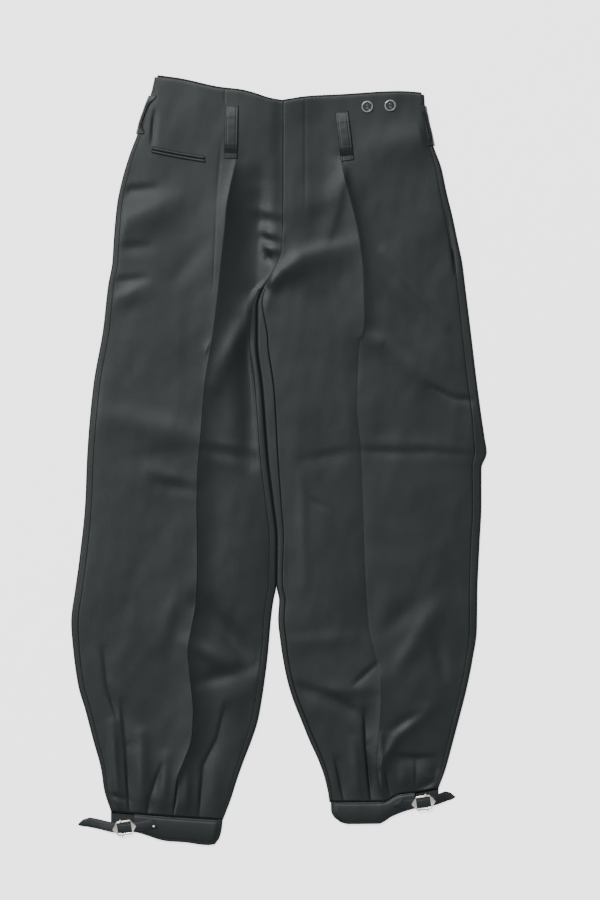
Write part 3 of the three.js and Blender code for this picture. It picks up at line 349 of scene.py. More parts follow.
def top_height(x, y):
    """Height of the front's outer face, one surface over both legs."""
    on_right = x < (RIGHT_LEG.middle(y) + LEFT_LEG.middle(y)) / 2
    from_side = np.where(on_right, x - RIGHT_LEG.side(y), LEFT_LEG.side(y) - x)
    middle = np.where(on_right, RIGHT_LEG.middle(y), LEFT_LEG.middle(y))
    from_middle = np.abs(x - middle) + SEAT_WIDTH * smooth(SEAT_FROM, SEAT_TO, y)
    from_edge = np.clip(np.minimum(from_side, from_middle), 0, None)
    crown = CROWN * (1 - np.exp(-from_edge / CROWN_RUN))
    creases = np.where(on_right, crease_at(RIGHT_LEG, x, y), crease_at(LEFT_LEG, x, y))
    calm = smooth(EDGE_REACH, CALM_EDGE, np.minimum(from_side, from_middle))
    hem = np.where(on_right, RIGHT_LEG.hem(x), LEFT_LEG.hem(x))
    sewn = mix(HEM_SHARE, 1, smooth(0, HEM_REACH, y - hem))
    folds = folds_at(FOLDS, x, y, False) + folds_at(PLEATS, x, y, True) + unevenness(x, y)
    return EDGE_HEIGHT + sewn * (crown + calm * (creases + folds))


def fly_lift(x, y):
    """How much the left front is raised where it laps over the right one."""
    past = x - LEFT_LEG.middle(y)
    across = 1 - smooth(FLY_LAP + FLY_FLAT, FLY_LAP + FLY_FADE, past)
    return FLY_STEP * across * smooth(FLY_RISE_FROM, FLY_RISE_TO, y)


def dip(distance):
    """How deep a seam pulls the cloth down, by the distance from it."""
    return SEAM_DIP * np.exp(-(distance / SEAM_WIDTH) ** 2)


def side_seam_dip(leg, x, y, seam):
    """The side seam's groove, pressed nearly flat on the right leg above its cuff."""
    worn = SIDE_WORN if leg is RIGHT_LEG else 1
    return mix(1, worn, smooth(WORN_FROM, WORN_TO, y)) * dip(np.abs(x - seam))


def inseam_dip(leg, x, seam):
    """The inseam's groove, shallower on the right leg."""
    return (INSEAM_WORN if leg is RIGHT_LEG else 1) * dip(np.abs(x - seam))


def gathered(t, amount=0.65):
    """Spreads t so that its steps are finer at both ends."""
    return t - amount * np.sin(2 * math.pi * t) / (2 * math.pi)


def finished(name, bm):
    """The mesh that a bmesh has become."""
    mesh = bpy.data.meshes.new(name)
    bm.to_mesh(mesh)
    bm.free()
    return mesh


def grid_mesh(name, columns, rows, place, keep=None, turn_over=False):
    """A grid whose points go where place(u, v) says, with u across and v down."""
    bm = bmesh.new()
    bmesh.ops.create_grid(bm, x_segments=columns, y_segments=rows, size=0.5)
    flat = np.array([vert.co[:2] for vert in bm.verts])
    u, v = flat[:, 0] + 0.5, 0.5 - flat[:, 1]
    if keep is not None:
        middles = np.array([face.calc_center_median()[:2] for face in bm.faces])
        kept = keep(middles[:, 0] + 0.5, 0.5 - middles[:, 1])
        gone = [face for face, stays in zip(bm.faces, kept) if not stays]
    for vert, point in zip(bm.verts, place(u, v)):
        vert.co = Vector(point) * MM
    if keep is not None:
        bmesh.ops.delete(bm, geom=gone, context="FACES")
    if turn_over:
        bmesh.ops.reverse_faces(bm, faces=bm.faces)
    for face in bm.faces:
        face.smooth = True
    return finished(name, bm)


def piece(name, mesh, material, nodes, slot):
    """Puts a finished mesh in the scene as the piece that stands for some of the part's nodes."""
    made = bpy.data.objects.new(name, mesh)
    bpy.context.scene.collection.objects.link(made)
    made.data.materials.append(material)
    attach(made, "root")
    if nodes:
        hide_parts(*nodes)
    return made


def thicken(made, thickness):
    """Gives a sheet its wall, on the side away from its outer face."""
    wall = made.modifiers.new("wall", "SOLIDIFY")
    wall.thickness = thickness * MM
    wall.offset = -1
    wall.use_even_offset = False


class Shade:
    """A value in a material. Sums and products of shades make their own Math nodes."""

    def __init__(self, tree, output):
        self.tree, self.output = tree, output

    def make(self, kind, settings, sockets, output=0):
        """Adds a node with its settings, fills its sockets and gives one of its outputs."""
        node = self.tree.nodes.new(kind)
        for name, value in settings.items():
            if name == "stops":
                for stop, (place, colour) in zip(node.color_ramp.elements, value):
                    stop.position, stop.color = place, colour
            else:
                setattr(node, name, value)
        for name, value in sockets.items():
            if isinstance(value, Shade):
                self.tree.links.new(value.output, node.inputs[name])
            else:
                node.inputs[name].default_value = value
        return Shade(self.tree, node.outputs[output])

    def math(self, operation, first, second=0.0):
        return self.make("ShaderNodeMath", {"operation": operation}, {0: first, 1: second})

    def __add__(self, other):
        return self.math("ADD", self, other)

    def __sub__(self, other):
        return self.math("SUBTRACT", self, other)

    def __rsub__(self, other):
        return self.math("SUBTRACT", other, self)

    def __mul__(self, other):
        return self.math("MULTIPLY", self, other)

    __radd__ = __add__
    __rmul__ = __mul__

    def wave(self):
        """A sine of this value, between 0 and 1."""
        return self.math("SINE", self) * 0.5 + 0.5


def new_material(name, **constants):
    """A material with its constant sockets set, its shader, and a Shade of its coordinates."""
    material = bpy.data.materials.new(name)
    material.use_nodes = True
    tree = material.node_tree
    shader = tree.nodes["Principled BSDF"]
    for socket, value in constants.items():
        shader.inputs[socket.replace("_", " ")].default_value = value
    place = tree.nodes.new("ShaderNodeTexCoord")
    return material, shader, Shade(tree, place.outputs["Object"])


def connect(shader, place, **sockets):
    for socket, value in sockets.items():
        place.tree.links.new(value.output, shader.inputs[socket.replace("_", " ")])


TWILL_DARK = (0.0060, 0.0068, 0.0071, 1)
TWILL_LIGHT = (0.0103, 0.0116, 0.0120, 1)
TWILL_RIB, TWILL_SLOPE, TWILL_YARN = 0.8, 0.7, 0.45
ROUGHNESS_SPREAD = 0.12


def twill(name, dark, light, roughness):
    """Dark worsted twill: steep diagonal ribs, a soft sheen and slightly uneven dyeing."""
    material, shader, place = new_material(
        name, Specular_IOR_Level=0.36, Specular_Tint=(0.92, 1, 1, 1), Sheen_Weight=0.05,
        Sheen_Roughness=0.45)
    x, y = [place.make("ShaderNodeSeparateXYZ", {}, {0: place}, axis) * (1 / MM) for axis in (0, 1)]
    ribs = ((x + y * TWILL_SLOPE) * (2 * math.pi / TWILL_RIB)).wave()
    yarns = (y * (2 * math.pi / TWILL_YARN)).wave()
    slub = place.make("ShaderNodeTexNoise", {}, {"Vector": place, "Scale": 900.0, "Detail": 3.0})
    dye = place.make("ShaderNodeTexNoise", {}, {"Vector": place, "Scale": 9.0, "Detail": 3.0})
    tone = ribs * 0.3 + slub * 0.35 + dye * 0.35
    colour = place.make("ShaderNodeValToRGB", {"stops": [(0.3, dark), (0.7, light)]}, {0: tone})
    height = ribs * 0.6 + yarns * 0.15 + slub * 0.25
    bump = place.make("ShaderNodeBump", {}, {"Height": height, "Strength": 0.35, "Distance": 0.0002})
    connect(shader, place, Base_Color=colour, Normal=bump,
            Roughness=dye * ROUGHNESS_SPREAD + (roughness - ROUGHNESS_SPREAD / 2))
    return material


TWILL = twill("dark twill", TWILL_DARK, TWILL_LIGHT, 0.43)


def cloth_piece(node, columns, rows, place, wall, keep=None, turn_over=False, cloth=(TWILL, "twill")):
    """A sheet of cloth with its wall, standing for one of the part's nodes."""
    name = f"{node}_cloth"
    mesh = grid_mesh(name, columns, rows, place, keep, turn_over)
    made = piece(name, mesh, cloth[0], [node], cloth[1])
    thicken(made, wall)
    return made


FRONT_COLUMNS, FRONT_ROWS = 176, 248


def front_place(leg):
    def place(u, v):
        outer, inner = leg.row(v)
        below = inner <= CROTCH_Y
        seam = leg.side(outer) + leg.inward * (leg.side_seam(outer) + SEAM_GAP)
        inset = np.where(below, leg.inseam(inner), 0)
        edge = leg.middle(inner) - leg.inward * (inset + SEAM_GAP)
        if leg is RIGHT_LEG:
            edge = edge + FLY_LAP * smooth(FLY_FOOT, FLY_FOOT + FLY_HOOK, inner)
        crease = leg.crease((outer + inner) / 2)
        far = gathered(np.clip(2 * u, 0, 1))
        near = gathered(np.clip(2 * u - 1, 0, 1))
        x = np.where(u < 0.5, mix(seam, crease, far), mix(crease, edge, near))
        y = leg.height(outer, inner, x)
        z = top_height(x, y)
        z = z - side_seam_dip(leg, x, y, seam) - HEM_DIP * dip(y - leg.hem(x))
        z = z - np.where(inner < CROTCH_Y + INSEAM_TOP, inseam_dip(leg, x, edge), 0)
        z = z - WAIST_TURN * np.exp(-((leg.waist(x) - y) / WAIST_TURN_WIDTH) ** 2)
        if leg is LEFT_LEG:
            z = z + fly_lift(x, y) - FLY_EDGE * np.exp(-((x - edge) / FLY_EDGE_WIDTH) ** 2)
        return np.stack([x, y, z], axis=1)

    return place


front_pieces = {side: cloth_piece(f"front_{side}", FRONT_COLUMNS, FRONT_ROWS, front_place(leg),
                                  CLOTH, turn_over=leg is LEFT_LEG) for side, leg in LEGS}

# ---- Back panels ----
# Each back leg lies under its front, folds up round both edges of the leg and meets the front
# at the side seam and the inseam. Above the crotch the two backs meet at the centre back.
BACK_ROWS = 220
BACK_DROP = 3
BACK_CLEAR = 0.1
CROTCH_LAP = 5
ROW_START = 0.001
FOLD_START = 0.01
FLANGE, FOLD, FLOOR = 8, 12, 12
BACK_COLUMNS = 2 * (FLANGE + FOLD) + FLOOR


def back_place(leg):
    marks = np.cumsum([0, FLANGE, FOLD, FLOOR, FOLD, FLANGE]) / BACK_COLUMNS

    def place(u, v):
        outer, inner = leg.row(v)
        outer = outer - BACK_DROP * (v < ROW_START)
        inner = inner - BACK_DROP * (v < ROW_START)
        below = inner <= CROTCH_Y + CROTCH_LAP
        side, middle = leg.side(outer), leg.middle(inner) + leg.inward * BACK_CLEAR
        side_centre = side + leg.inward * EDGE_REACH
        middle_centre = middle - leg.inward * EDGE_REACH
        side_end = side + leg.inward * (leg.side_seam(outer) - SEAM_GAP)
        inner_end = middle - leg.inward * (leg.inseam(inner) - 2 * SEAM_GAP)
        part = [np.clip((u - a) / (b - a), 0, 1) for a, b in zip(marks, marks[1:])]
        turn_out, turn_in = part[1] * math.pi, (1 - part[3]) * math.pi
        x = mix(side_end, side_centre, part[0])
        x = np.where(part[1] > 0, side_centre - leg.inward * EDGE_REACH * np.sin(turn_out), x)
        floor_end = np.where(below, middle_centre, middle)
        x = np.where(part[2] > 0, mix(side_centre, floor_end, part[2]), x)
        folded_in = middle_centre + leg.inward * EDGE_REACH * np.sin(turn_in)
        x = np.where(part[3] > FOLD_START, folded_in, x)
        x = np.where(part[4] > 0, mix(middle_centre, inner_end, part[4]), x)
        y = leg.height(outer, inner, x)
        half = EDGE_HEIGHT / 2
        z = np.where(part[1] > 0, half + half * np.cos(turn_out), top_height(x, y))
        z = np.where(part[2] > 0, 0, z)
        z = np.where(part[3] > 0, half + half * np.cos(turn_in), z)
        z = np.where(part[4] > 0, top_height(x, y), z)
        z = z - np.where(part[1] == 0, side_seam_dip(leg, x, y, side_end), 0)
        z = z - np.where(part[4] > 0, inseam_dip(leg, x, inner_end), 0)
        return np.stack([x, y, z], axis=1)

    return place


def back_keep(leg):
    """Which faces a back has: above the crotch nothing folds up at the centre back."""
    floor_end = (FLANGE + FOLD + FLOOR) / BACK_COLUMNS

    def keep(u, v):
        return (u < floor_end) | (leg.row(v)[1] < CROTCH_Y + CROTCH_LAP)

    return keep


back_pieces = {side: cloth_piece(f"back_{side}", BACK_COLUMNS, BACK_ROWS, back_place(leg), CLOTH,
                                 back_keep(leg), leg is RIGHT_LEG) for side, leg in LEGS}

# ---- Belt loops ----
# Folded strips of the same twill, two on the fronts and one round each side. Each is tacked
# flat at both ends and stands clear between them, with a stitch line along both long edges.
LOOP_HALF, LOOP_LENGTH = 9, 71
LOOP_SEAT, LOOP_RISE = 0.3, 2.4
LOOP_THICKNESS = 1.4
LOOP_PROFILE = [
    (0, 0), (0.03, 0), (0.1, 0.3), (0.2, 0.6), (0.35, 0.8), (0.5, 0.92), (0.65, 1), (0.74, 0.96),
    (0.81, 0.7), (0.87, 0.25), (0.91, 0), (1, 0),
]
LOOP_ROLL, LOOP_WAVE = 0.55, 0.12
LOOP_GROOVE, LOOP_GROOVE_AT, LOOP_GROOVE_WIDTH = 0.28, 0.66, 0.07
TACK_GROOVE, TACK_GROOVE_AT, TACK_GROOVE_WIDTH = 0.15, 0.9, 0.9
LOOP_SEWN, LOOP_TACKED = (0.17, 0.83), (0.905, 0.955)
# The middle of each front loop's top and foot.
FRONT_LOOPS = (("right", (-63.5, 478), (-64.8, 407)), ("left", (84.5, 470), (92.5, 404)))
THREAD = twill("thread", (0.010, 0.012, 0.0125, 1), (0.018, 0.021, 0.022, 1), 0.5)


def cloth_top(x, y):
    """Height of the face that things are sewn on, with the lap of the fly."""
    x, y = np.asarray(x, float), np.asarray(y, float)
    return top_height(x, y) + np.where(x > 0, fly_lift(x, y), 0)


def stitches(name, runs, slot="twill", length=2.6, gap=1.1, width=0.42, material=THREAD):
    """Short raised stitches along each run of (x, y, z) points, as one piece."""
    bm = bmesh.new()
    for run in runs:
        run = np.array(run, float)
        steps = np.linalg.norm(np.diff(run, axis=0), axis=1)
        at = np.concatenate([[0], np.cumsum(steps)])
        count = max(1, int(at[-1] / (length + gap)))
        for i in range(count):
            middle = (i + 0.5) * at[-1] / count
            behind, spot, ahead = [[np.interp(middle + step, at, run[:, axis]) for axis in range(3)]
                                   for step in (-0.5, 0, 0.5)]
            heading = (Vector(ahead) - Vector(behind)).to_track_quat("X", "Z").to_matrix().to_4x4()
            size = Matrix.Diagonal((length / 2, width / 2, width / 2, 1))
            where = Matrix.Scale(MM, 4) @ Matrix.Translation(spot) @ heading @ size
            bmesh.ops.create_icosphere(bm, subdivisions=1, radius=1, matrix=where)
    for face in bm.faces:
        face.smooth = True
    return piece(name, finished(name, bm), material, [], slot)


def front_loop(top, bottom):
    """Points on a front belt loop: u across it, and t from its top to its foot."""
    spots = np.linspace(0, 1, 9)
    highest = float(np.max(cloth_top(mix(top[0], bottom[0], spots), mix(top[1], bottom[1], spots))))
    run = np.array([bottom[0] - top[0], bottom[1] - top[1]], float)
    across = np.array([-run[1], run[0]]) / np.linalg.norm(run)

    def waves(u, t):
        u, t = np.broadcast_arrays(u, t)
        return np.array([noise.noise((float(a) * LOOP_LENGTH / 9, float(b) * 2, 1.7))
                         for a, b in zip(np.ravel(t), np.ravel(u))]).reshape(t.shape)

    def point(u, t, lift=0.0):
        reach = (2 * u - 1) * LOOP_HALF
        x = mix(top[0], bottom[0], t) + across[0] * reach
        y = mix(top[1], bottom[1], t) + across[1] * reach
        rise = np.interp(t, *zip(*LOOP_PROFILE))
        z = mix(cloth_top(x, y) + LOOP_SEAT, highest + LOOP_RISE, rise) + LOOP_THICKNESS
        edge = np.abs(2 * u - 1)
        sewn = np.exp(-((edge - LOOP_GROOVE_AT) / LOOP_GROOVE_WIDTH) ** 2)
        tacked = np.exp(-((t - TACK_GROOVE_AT) * LOOP_LENGTH / TACK_GROOVE_WIDTH) ** 2)
        z = z - LOOP_ROLL * edge ** 10 - LOOP_GROOVE * sewn
        z = z + LOOP_WAVE * waves(u, t) - TACK_GROOVE * tacked
        return np.stack([x, y, z + lift], axis=-1)

    return point


loop_pieces = {}
for side, top, bottom in FRONT_LOOPS:
    point = front_loop(top, bottom)
    loop = cloth_piece(f"loop_front_{side}", 28, 90, lambda u, v: point(1 - u, v),
                       LOOP_THICKNESS - 0.1, turn_over=True)
    down, over = np.linspace(0.02, 0.98, 60), np.linspace(0.06, 0.94, 12)
    runs = [point(np.full_like(down, u), down, -0.12) for u in LOOP_SEWN]
    runs += [point(over, np.full_like(over, t), 0.02) for t in LOOP_TACKED]
    loop_pieces[side] = [loop, stitches(f"loop_front_{side}_stitches", runs)]

# How far out of the leg's edge, and how high, the side loops run where sewn and where clear,
# and the way that their outer face leans.
SIDE_SEWN = [(0.7, 0.3), (0.8, 3), (-1.5, 6), (-9.6, 6.6)]
SIDE_CLEAR = [(1.3, 0.3), (1.7, 3.4), (1, 6), (-1.6, 7.6)]
SIDE_FACE = [(1.6, 0), (1.5, 0.5), (1.1, 1.1), (0.5, 1.5)]
SIDE_BOW = 0.3
SIDE_GROOVE, SIDE_GROOVES_AT, SIDE_GROOVE_WIDTH = 0.25, (0.16, 0.84), 0.03


def side_loop_place(leg, top, bottom):
    def place(u, v):
        y = mix(top, bottom, v)
        bowed = smooth(0, SIDE_BOW, v) * smooth(0, SIDE_BOW, 1 - v)
        share = u * (len(SIDE_SEWN) - 1)

        def at(table, column):
            return np.interp(share, range(len(table)), [row[column] for row in table])

        out = mix(at(SIDE_SEWN, 0), at(SIDE_CLEAR, 0), bowed) + at(SIDE_FACE, 0)
        z = mix(at(SIDE_SEWN, 1), at(SIDE_CLEAR, 1), bowed) + at(SIDE_FACE, 1)
        sewn = sum(np.exp(-((u - at_edge) / SIDE_GROOVE_WIDTH) ** 2) for at_edge in SIDE_GROOVES_AT)
        x = leg.side(y) - leg.inward * (out - SIDE_GROOVE * sewn)
        return np.stack([x, y, z], axis=1)

    return place


for side, leg, top, bottom in (("right", RIGHT_LEG, 492, 440), ("left", LEFT_LEG, 478, 424)):
    loop = cloth_piece(f"loop_side_{side}", 24, 60, side_loop_place(leg, top, bottom),
                       LOOP_THICKNESS, turn_over=leg is LEFT_LEG)
    soft = loop.modifiers.new("soft", "SUBSURF")
    soft.levels = soft.render_levels = 1
    loop_pieces[side].append(loop)

# ---- Watch pocket ----
# A slanted slit on the right front between two narrow folded welts of the same twill. It is
# stitched along both sides and tacked at both ends.
POCKET_START = (-171.5, 418.5)
POCKET_END = (-100, 405.5)
POCKET_SAG = 0.7
WELT_HALF, WELT_STEP, WELT_ROUNDING = 2.1, 2.3, 0.15
WELT_SEAT, WELT_THICKNESS, WELT_WALL = 0.1, 1.3, 0.5
POCKET_SEWN, POCKET_TACKED = 5.1, 5


def pocket_point(t, offset, lift):
    """A point on the slit at t along it, set off across it and above the cloth."""
    x = mix(POCKET_START[0], POCKET_END[0], t)
    y = mix(POCKET_START[1], POCKET_END[1], t) + offset - POCKET_SAG * np.sin(math.pi * t)
    return np.stack([x, y, cloth_top(x, y) + lift], axis=-1)


def welt_place(offset):
    def place(u, v):
        across = (1 - 2 * v) * WELT_HALF
        rounded = np.sqrt(np.clip(1 - (across / (WELT_HALF + WELT_ROUNDING)) ** 2, 0, 1))
        return pocket_point(u, offset + across, WELT_SEAT + WELT_THICKNESS * rounded)

    return place


pocket_pieces = [cloth_piece(f"pocket_welt_{name}", 60, 12, welt_place(offset), WELT_WALL)
                 for name, offset in (("upper", WELT_STEP), ("lower", -WELT_STEP))]
steps = np.linspace(0.01, 0.99, 50)
sewn = [pocket_point(steps, offset, 0.1) for offset in (POCKET_SEWN, -POCKET_SEWN)]
tacks = [[pocket_point(np.float64(t), step, 1.0)
          for step in np.linspace(-POCKET_TACKED, POCKET_TACKED, 8)] for t in (-0.012, 1.012)]
pocket_pieces.append(stitches("pocket_stitches", sewn + tacks))

# ---- Buttons ----
# Two glossy dark four-hole buttons for braces, under the waist's edge on the left front. Each is
# dished inside a raised rim, whose pale colour is a painted highlight for the dark rim's gloss, and
# is sewn on with two bars of thread.
BUTTON_RADIUS = 8
BUTTON_RIM = [
    (6.6, 0), (7.6, 0.4), (8, 1.3), (7.8, 2.4), (7.2, 3.1), (6.5, 3.2), (5.8, 2.7), (5.2, 2.1),
]
BUTTON_STEPS, HOLE_STEPS = 48, 14
BUTTON_WELL, BUTTON_BAND, BUTTON_SEAT, BUTTON_BEVEL = 1.9, 6, 0.3, 0.12
HOLE_RADIUS, HOLE_OUT, HOLE_DEPTH = 0.85, 1.9, 1.5
THREAD_APART, THREAD_RISE, THREAD_DROP = 0.28, 0.45, 1.1


def marbled(name, dark, light):
    """Polished polyester with a swirl of two tones."""
    material, shader, place = new_material(name, Coat_Weight=0.6, Coat_Roughness=0.12)
    swirl = place.make("ShaderNodeTexNoise", {}, {
        "Vector": place, "Scale": 260.0, "Detail": 4.0, "Distortion": 1.5})
    connect(shader, place, Roughness=swirl * 0.15 + 0.16, Base_Color=place.make(
        "ShaderNodeValToRGB", {"stops": [(0.3, dark), (0.75, light)]}, {0: swirl}))
    return material


BUTTON_DARK = marbled("button well", (0.008, 0.009, 0.0095, 1), (0.03, 0.032, 0.034, 1))
# The rim's and the thread's pale tones are a painted highlight on a dark glossy button.
BUTTON_PAINTED_HIGHLIGHT = marbled("button rim painted highlight", (0.12, 0.125, 0.13, 1), (0.36, 0.37, 0.38, 1))


def spun(profile, steps):
    """A bmesh of a profile of (radius, height) turned round once."""
    bm = bmesh.new()
    verts = [bm.verts.new((radius, 0, z)) for radius, z in profile]
    edges = [bm.edges.new(pair) for pair in zip(verts, verts[1:])]
    bmesh.ops.spin(bm, geom=verts + edges, axis=(0, 0, 1), cent=(0, 0, 0),
                   angle=2 * math.pi, steps=steps, use_merge=True)
    return bm


def ring(bm, x, y, z, radius, count):
    """Adds a circle and gives its edges, in the order in which they meet its corners."""
    made = bmesh.ops.create_circle(bm, segments=count, radius=radius,
                                   matrix=Matrix.Translation((x, y, z)))
    return list(dict.fromkeys(edge for vert in made["verts"] for edge in vert.link_edges))


def moved(bm, items, step):
    """Moves the points among some new items, as after an extrusion."""
    verts = [item for item in items if isinstance(item, bmesh.types.BMVert)]
    bmesh.ops.translate(bm, verts=verts, vec=step)


for name, x, y in (("outer", 150, 478), ("inner", 119, 476.5)):
    bm = spun(BUTTON_RIM, BUTTON_STEPS)
    well = ring(bm, 0, 0, BUTTON_WELL, BUTTON_RIM[-1][0] - 0.1, BUTTON_STEPS)
    holes = []
    for sx in (-1, 1):
        for sy in (-1, 1):
            holes.append(ring(bm, sx * HOLE_OUT, sy * HOLE_OUT, BUTTON_WELL, HOLE_RADIUS,
                              HOLE_STEPS))
    bmesh.ops.triangle_fill(bm, use_beauty=True, edges=well + sum(holes, []), normal=(0, 0, 1))
    for hole in holes:
        moved(bm, bmesh.ops.extrude_edge_only(bm, edges=hole)["geom"], (0, 0, -HOLE_DEPTH))
    bmesh.ops.remove_doubles(bm, verts=bm.verts, dist=0.12)
    bmesh.ops.holes_fill(bm, edges=[edge for edge in bm.edges if edge.is_boundary], sides=0)
    bmesh.ops.recalc_face_normals(bm, faces=bm.faces)
    spots = x + np.array([-BUTTON_RADIUS, 0, BUTTON_RADIUS])
    seat = float(np.max(cloth_top(spots, np.full(3, y)))) + BUTTON_SEAT
    bmesh.ops.transform(bm, verts=bm.verts,
                        matrix=Matrix.Scale(MM, 4) @ Matrix.Translation((x, y, seat)))
    for face in bm.faces:
        face.smooth = face.calc_area() < 2e-6
        middle = face.calc_center_median() / MM
        # Faces outside the band take the pale material with the rim's painted highlight.
        face.material_index = int(math.hypot(middle.x - x, middle.y - y) > BUTTON_BAND)
    disc = f"button_{name}_disc"
    button = piece(disc, finished(disc, bm), BUTTON_DARK, [f"button_{name}"], "button")
    button.data.materials.append(BUTTON_PAINTED_HIGHLIGHT)
    soften = button.modifiers.new("edges", "BEVEL")
    soften.width, soften.segments = BUTTON_BEVEL * MM, 2
    t = np.linspace(-1, 1, 9)
    top = seat + BUTTON_WELL + THREAD_RISE - THREAD_DROP * t ** 6
    bars = [np.stack([x + t * HOLE_OUT, np.full(9, y + sy * HOLE_OUT + shift), top], axis=1)
            for sy in (-1, 1) for shift in (-THREAD_APART, THREAD_APART)]
    # The thread bars take the same pale material with the painted highlight as the rim.
    stitches(f"button_{name}_thread", bars, "button", length=1.3, gap=-0.5, width=0.6,
             material=BUTTON_PAINTED_HIGHLIGHT)

# ---- Cuffs ----
# Straight bands folded double round the gathered hems. The front end tapers off under the
# buckle, the back end runs on to the outer edge, and both long edges are stitched.
CUFF_COLUMNS, CUFF_ROWS, CUFF_WALL = 150, 36, CLOTH + 0.3
CUFF_CLEAR, CUFF_GAP = 0.15, 0.1
CUFF_SWELL, CUFF_SWELL_ROUNDING, CUFF_UNEVEN = 1.1, 0.6, 0.35
CUFF_PLEAT, CUFF_PLEAT_REACH = 0.5, 0.7
CUFF_SEWN, CUFF_GROOVE, CUFF_GROOVE_WIDTH = (0.1, 0.9), 0.22, 0.028
CUFF_JOINED = {"right": 0.804, "left": 0.83}


def cuff_sections(leg, back_end, front_end, edge, bottom):
    """Points on a cuff: u from its back end round the inner edge to its front end, v down."""
    low = through(bottom, 1)
    fold = through([(-down, x) for down, x in edge], 1)
    end_outer = leg.levels[-1][1]
    side_centre = leg.side(end_outer) + leg.inward * EDGE_REACH
    marks = (0, 0.06, 0.38, 0.5, 1)

    def point(u, v, lift=0.0):
        centre = fold(-v) - leg.inward * (EDGE_REACH + CUFF_CLEAR)
        part = [np.clip((u - a) / (b - a), 0, 1) for a, b in zip(marks, marks[1:])]
        turn = (1 - part[2]) * math.pi
        x = mix(back_end, side_centre, part[0])
        x = np.where(part[1] > 0, mix(side_centre, centre, part[1]), x)
        x = np.where(part[2] > 0, centre + leg.inward * EDGE_REACH * np.sin(turn), x)
        x = np.where(part[3] > 0, mix(centre, front_end, part[3]), x)
        z = np.where(part[2] > 0, EDGE_HEIGHT / 2 * (1 + np.cos(turn)), 0)
        y = mix(leg.hem(x) - CUFF_GAP, low(x), v)
        on_top = smooth(0, 0.06, part[3])
        swell = CUFF_SWELL * np.sin(math.pi * np.clip(v, 0, 1)) ** CUFF_SWELL_ROUNDING
        pleat = CUFF_PLEAT * folds_at(FOLDS, x, leg.hem(x) + 2, False)
        pleat = pleat * (1 - smooth(0, CUFF_PLEAT_REACH, v))
        rows = sum(np.exp(-((v - row) / CUFF_GROOVE_WIDTH) ** 2) for row in CUFF_SEWN)
        z = z + on_top * (swell + pleat + CUFF_UNEVEN * unevenness(x, y) - CUFF_GROOVE * rows)
        return np.stack([x, y, z + lift], axis=-1)

    return point


CUFFS = (
    ("right", RIGHT_LEG, -227, -196, [(0, -75.6), (0.4, -77), (0.75, -80), (1, -86)],
     [(-82, -518), (-96, -519.75), (-128, -516), (-151, -514.4), (-197, -502), (-227, -500)]),
    ("left", LEFT_LEG, 215.5, 184, [(0, 69.5), (0.5, 70), (0.8, 73.5), (1, 82)],
     [(216, -459), (184, -470), (167, -475.2), (151, -482), (143, -487.4), (135, -491),
      (94, -491.4), (80, -488)]),
)
cuff_pieces, cuff_stitches = {}, {}
for side, leg, back_end, front_end, edge, bottom in CUFFS:
    point = cuff_sections(leg, back_end, front_end, edge, bottom)
    cuff_pieces[side] = cloth_piece(f"cuff_{side}", CUFF_COLUMNS, CUFF_ROWS, point, CUFF_WALL,
                                    turn_over=leg is RIGHT_LEG)
    u = np.linspace(0.5, 0.985, 90)
    across = np.linspace(*CUFF_SEWN, 12)
    runs = [point(u, np.full_like(u, row), -0.08) for row in CUFF_SEWN]
    runs.append(point(np.full_like(across, CUFF_JOINED[side]), across, -0.04))
    cuff_stitches[side] = stitches(f"cuff_{side}_stitches", runs)

# ---- Cuff straps ----
# Narrow doubled straps with pointed ends, sewn to the front of the band. Each passes through
# the buckle and out past the leg, where its free end lies on the ground.
STRAP_THICKNESS = 1.6
STRAP_CROWN, STRAP_ROLL = 0.25, 0.3
STRAP_GROOVE, STRAP_GROOVE_AT, STRAP_GROOVE_WIDTH = 0.22, 0.72, 0.06
GROOVE_FROM, GROOVE_FULL = 4, 12
# Place and height of the strap's middle line, and its reach to the left and to the right of it.
RIGHT_STRAP = [
    (-271, -487.6, 0, -3.4, 5.4), (-265, -487.8, 0, 2.6, 6.7), (-256, -488.8, 0.3, 6.7, 6.7),
    (-242, -491.6, 1.4, 6.7, 6.7), (-233, -493.8, 3.2, 6.7, 6.7), (-226, -495.4, 4.8, 6.7, 6.7),
    (-218, -496.6, 5.6, 6.7, 6.7), (-209, -496.8, 5.8, 6.7, 6.7), (-198, -495.6, 5.8, 6.7, 6.7),
    (-184, -492.8, 6.2, 6.7, 6.7), (-171, -490.2, 6.6, 6.7, 6.7), (-166, -489.4, 6.6, -1.5, 6.7),
    (-164, -489.2, 6.6, -5.2, 6.4),
]
LEFT_STRAP = [
    (237, -450.6, 0, 5, -3.2), (232, -451.8, 0, 6.7, 3.4), (226, -453.4, 0.6, 6.7, 6.7),
    (219, -456, 2.6, 6.7, 6.7), (212, -458.4, 4.6, 6.7, 6.7), (204, -460.8, 5.6, 6.7, 6.7),
    (195, -462.6, 5.8, 6.7, 6.7), (184, -463.8, 5.8, 6.7, 6.7), (172, -463.6, 6.2, 6.7, 6.7),
    (164, -462.4, 6.6, 6.7, 6.7), (158.6, -461.2, 6.6, 6.7, -1.2), (156.4, -460.8, 6.6, 6.4, -5),
]
STRAP_CLOTH = twill("strap cloth", (0.0055, 0.0062, 0.0075, 1), (0.009, 0.010, 0.012, 1), 0.46)


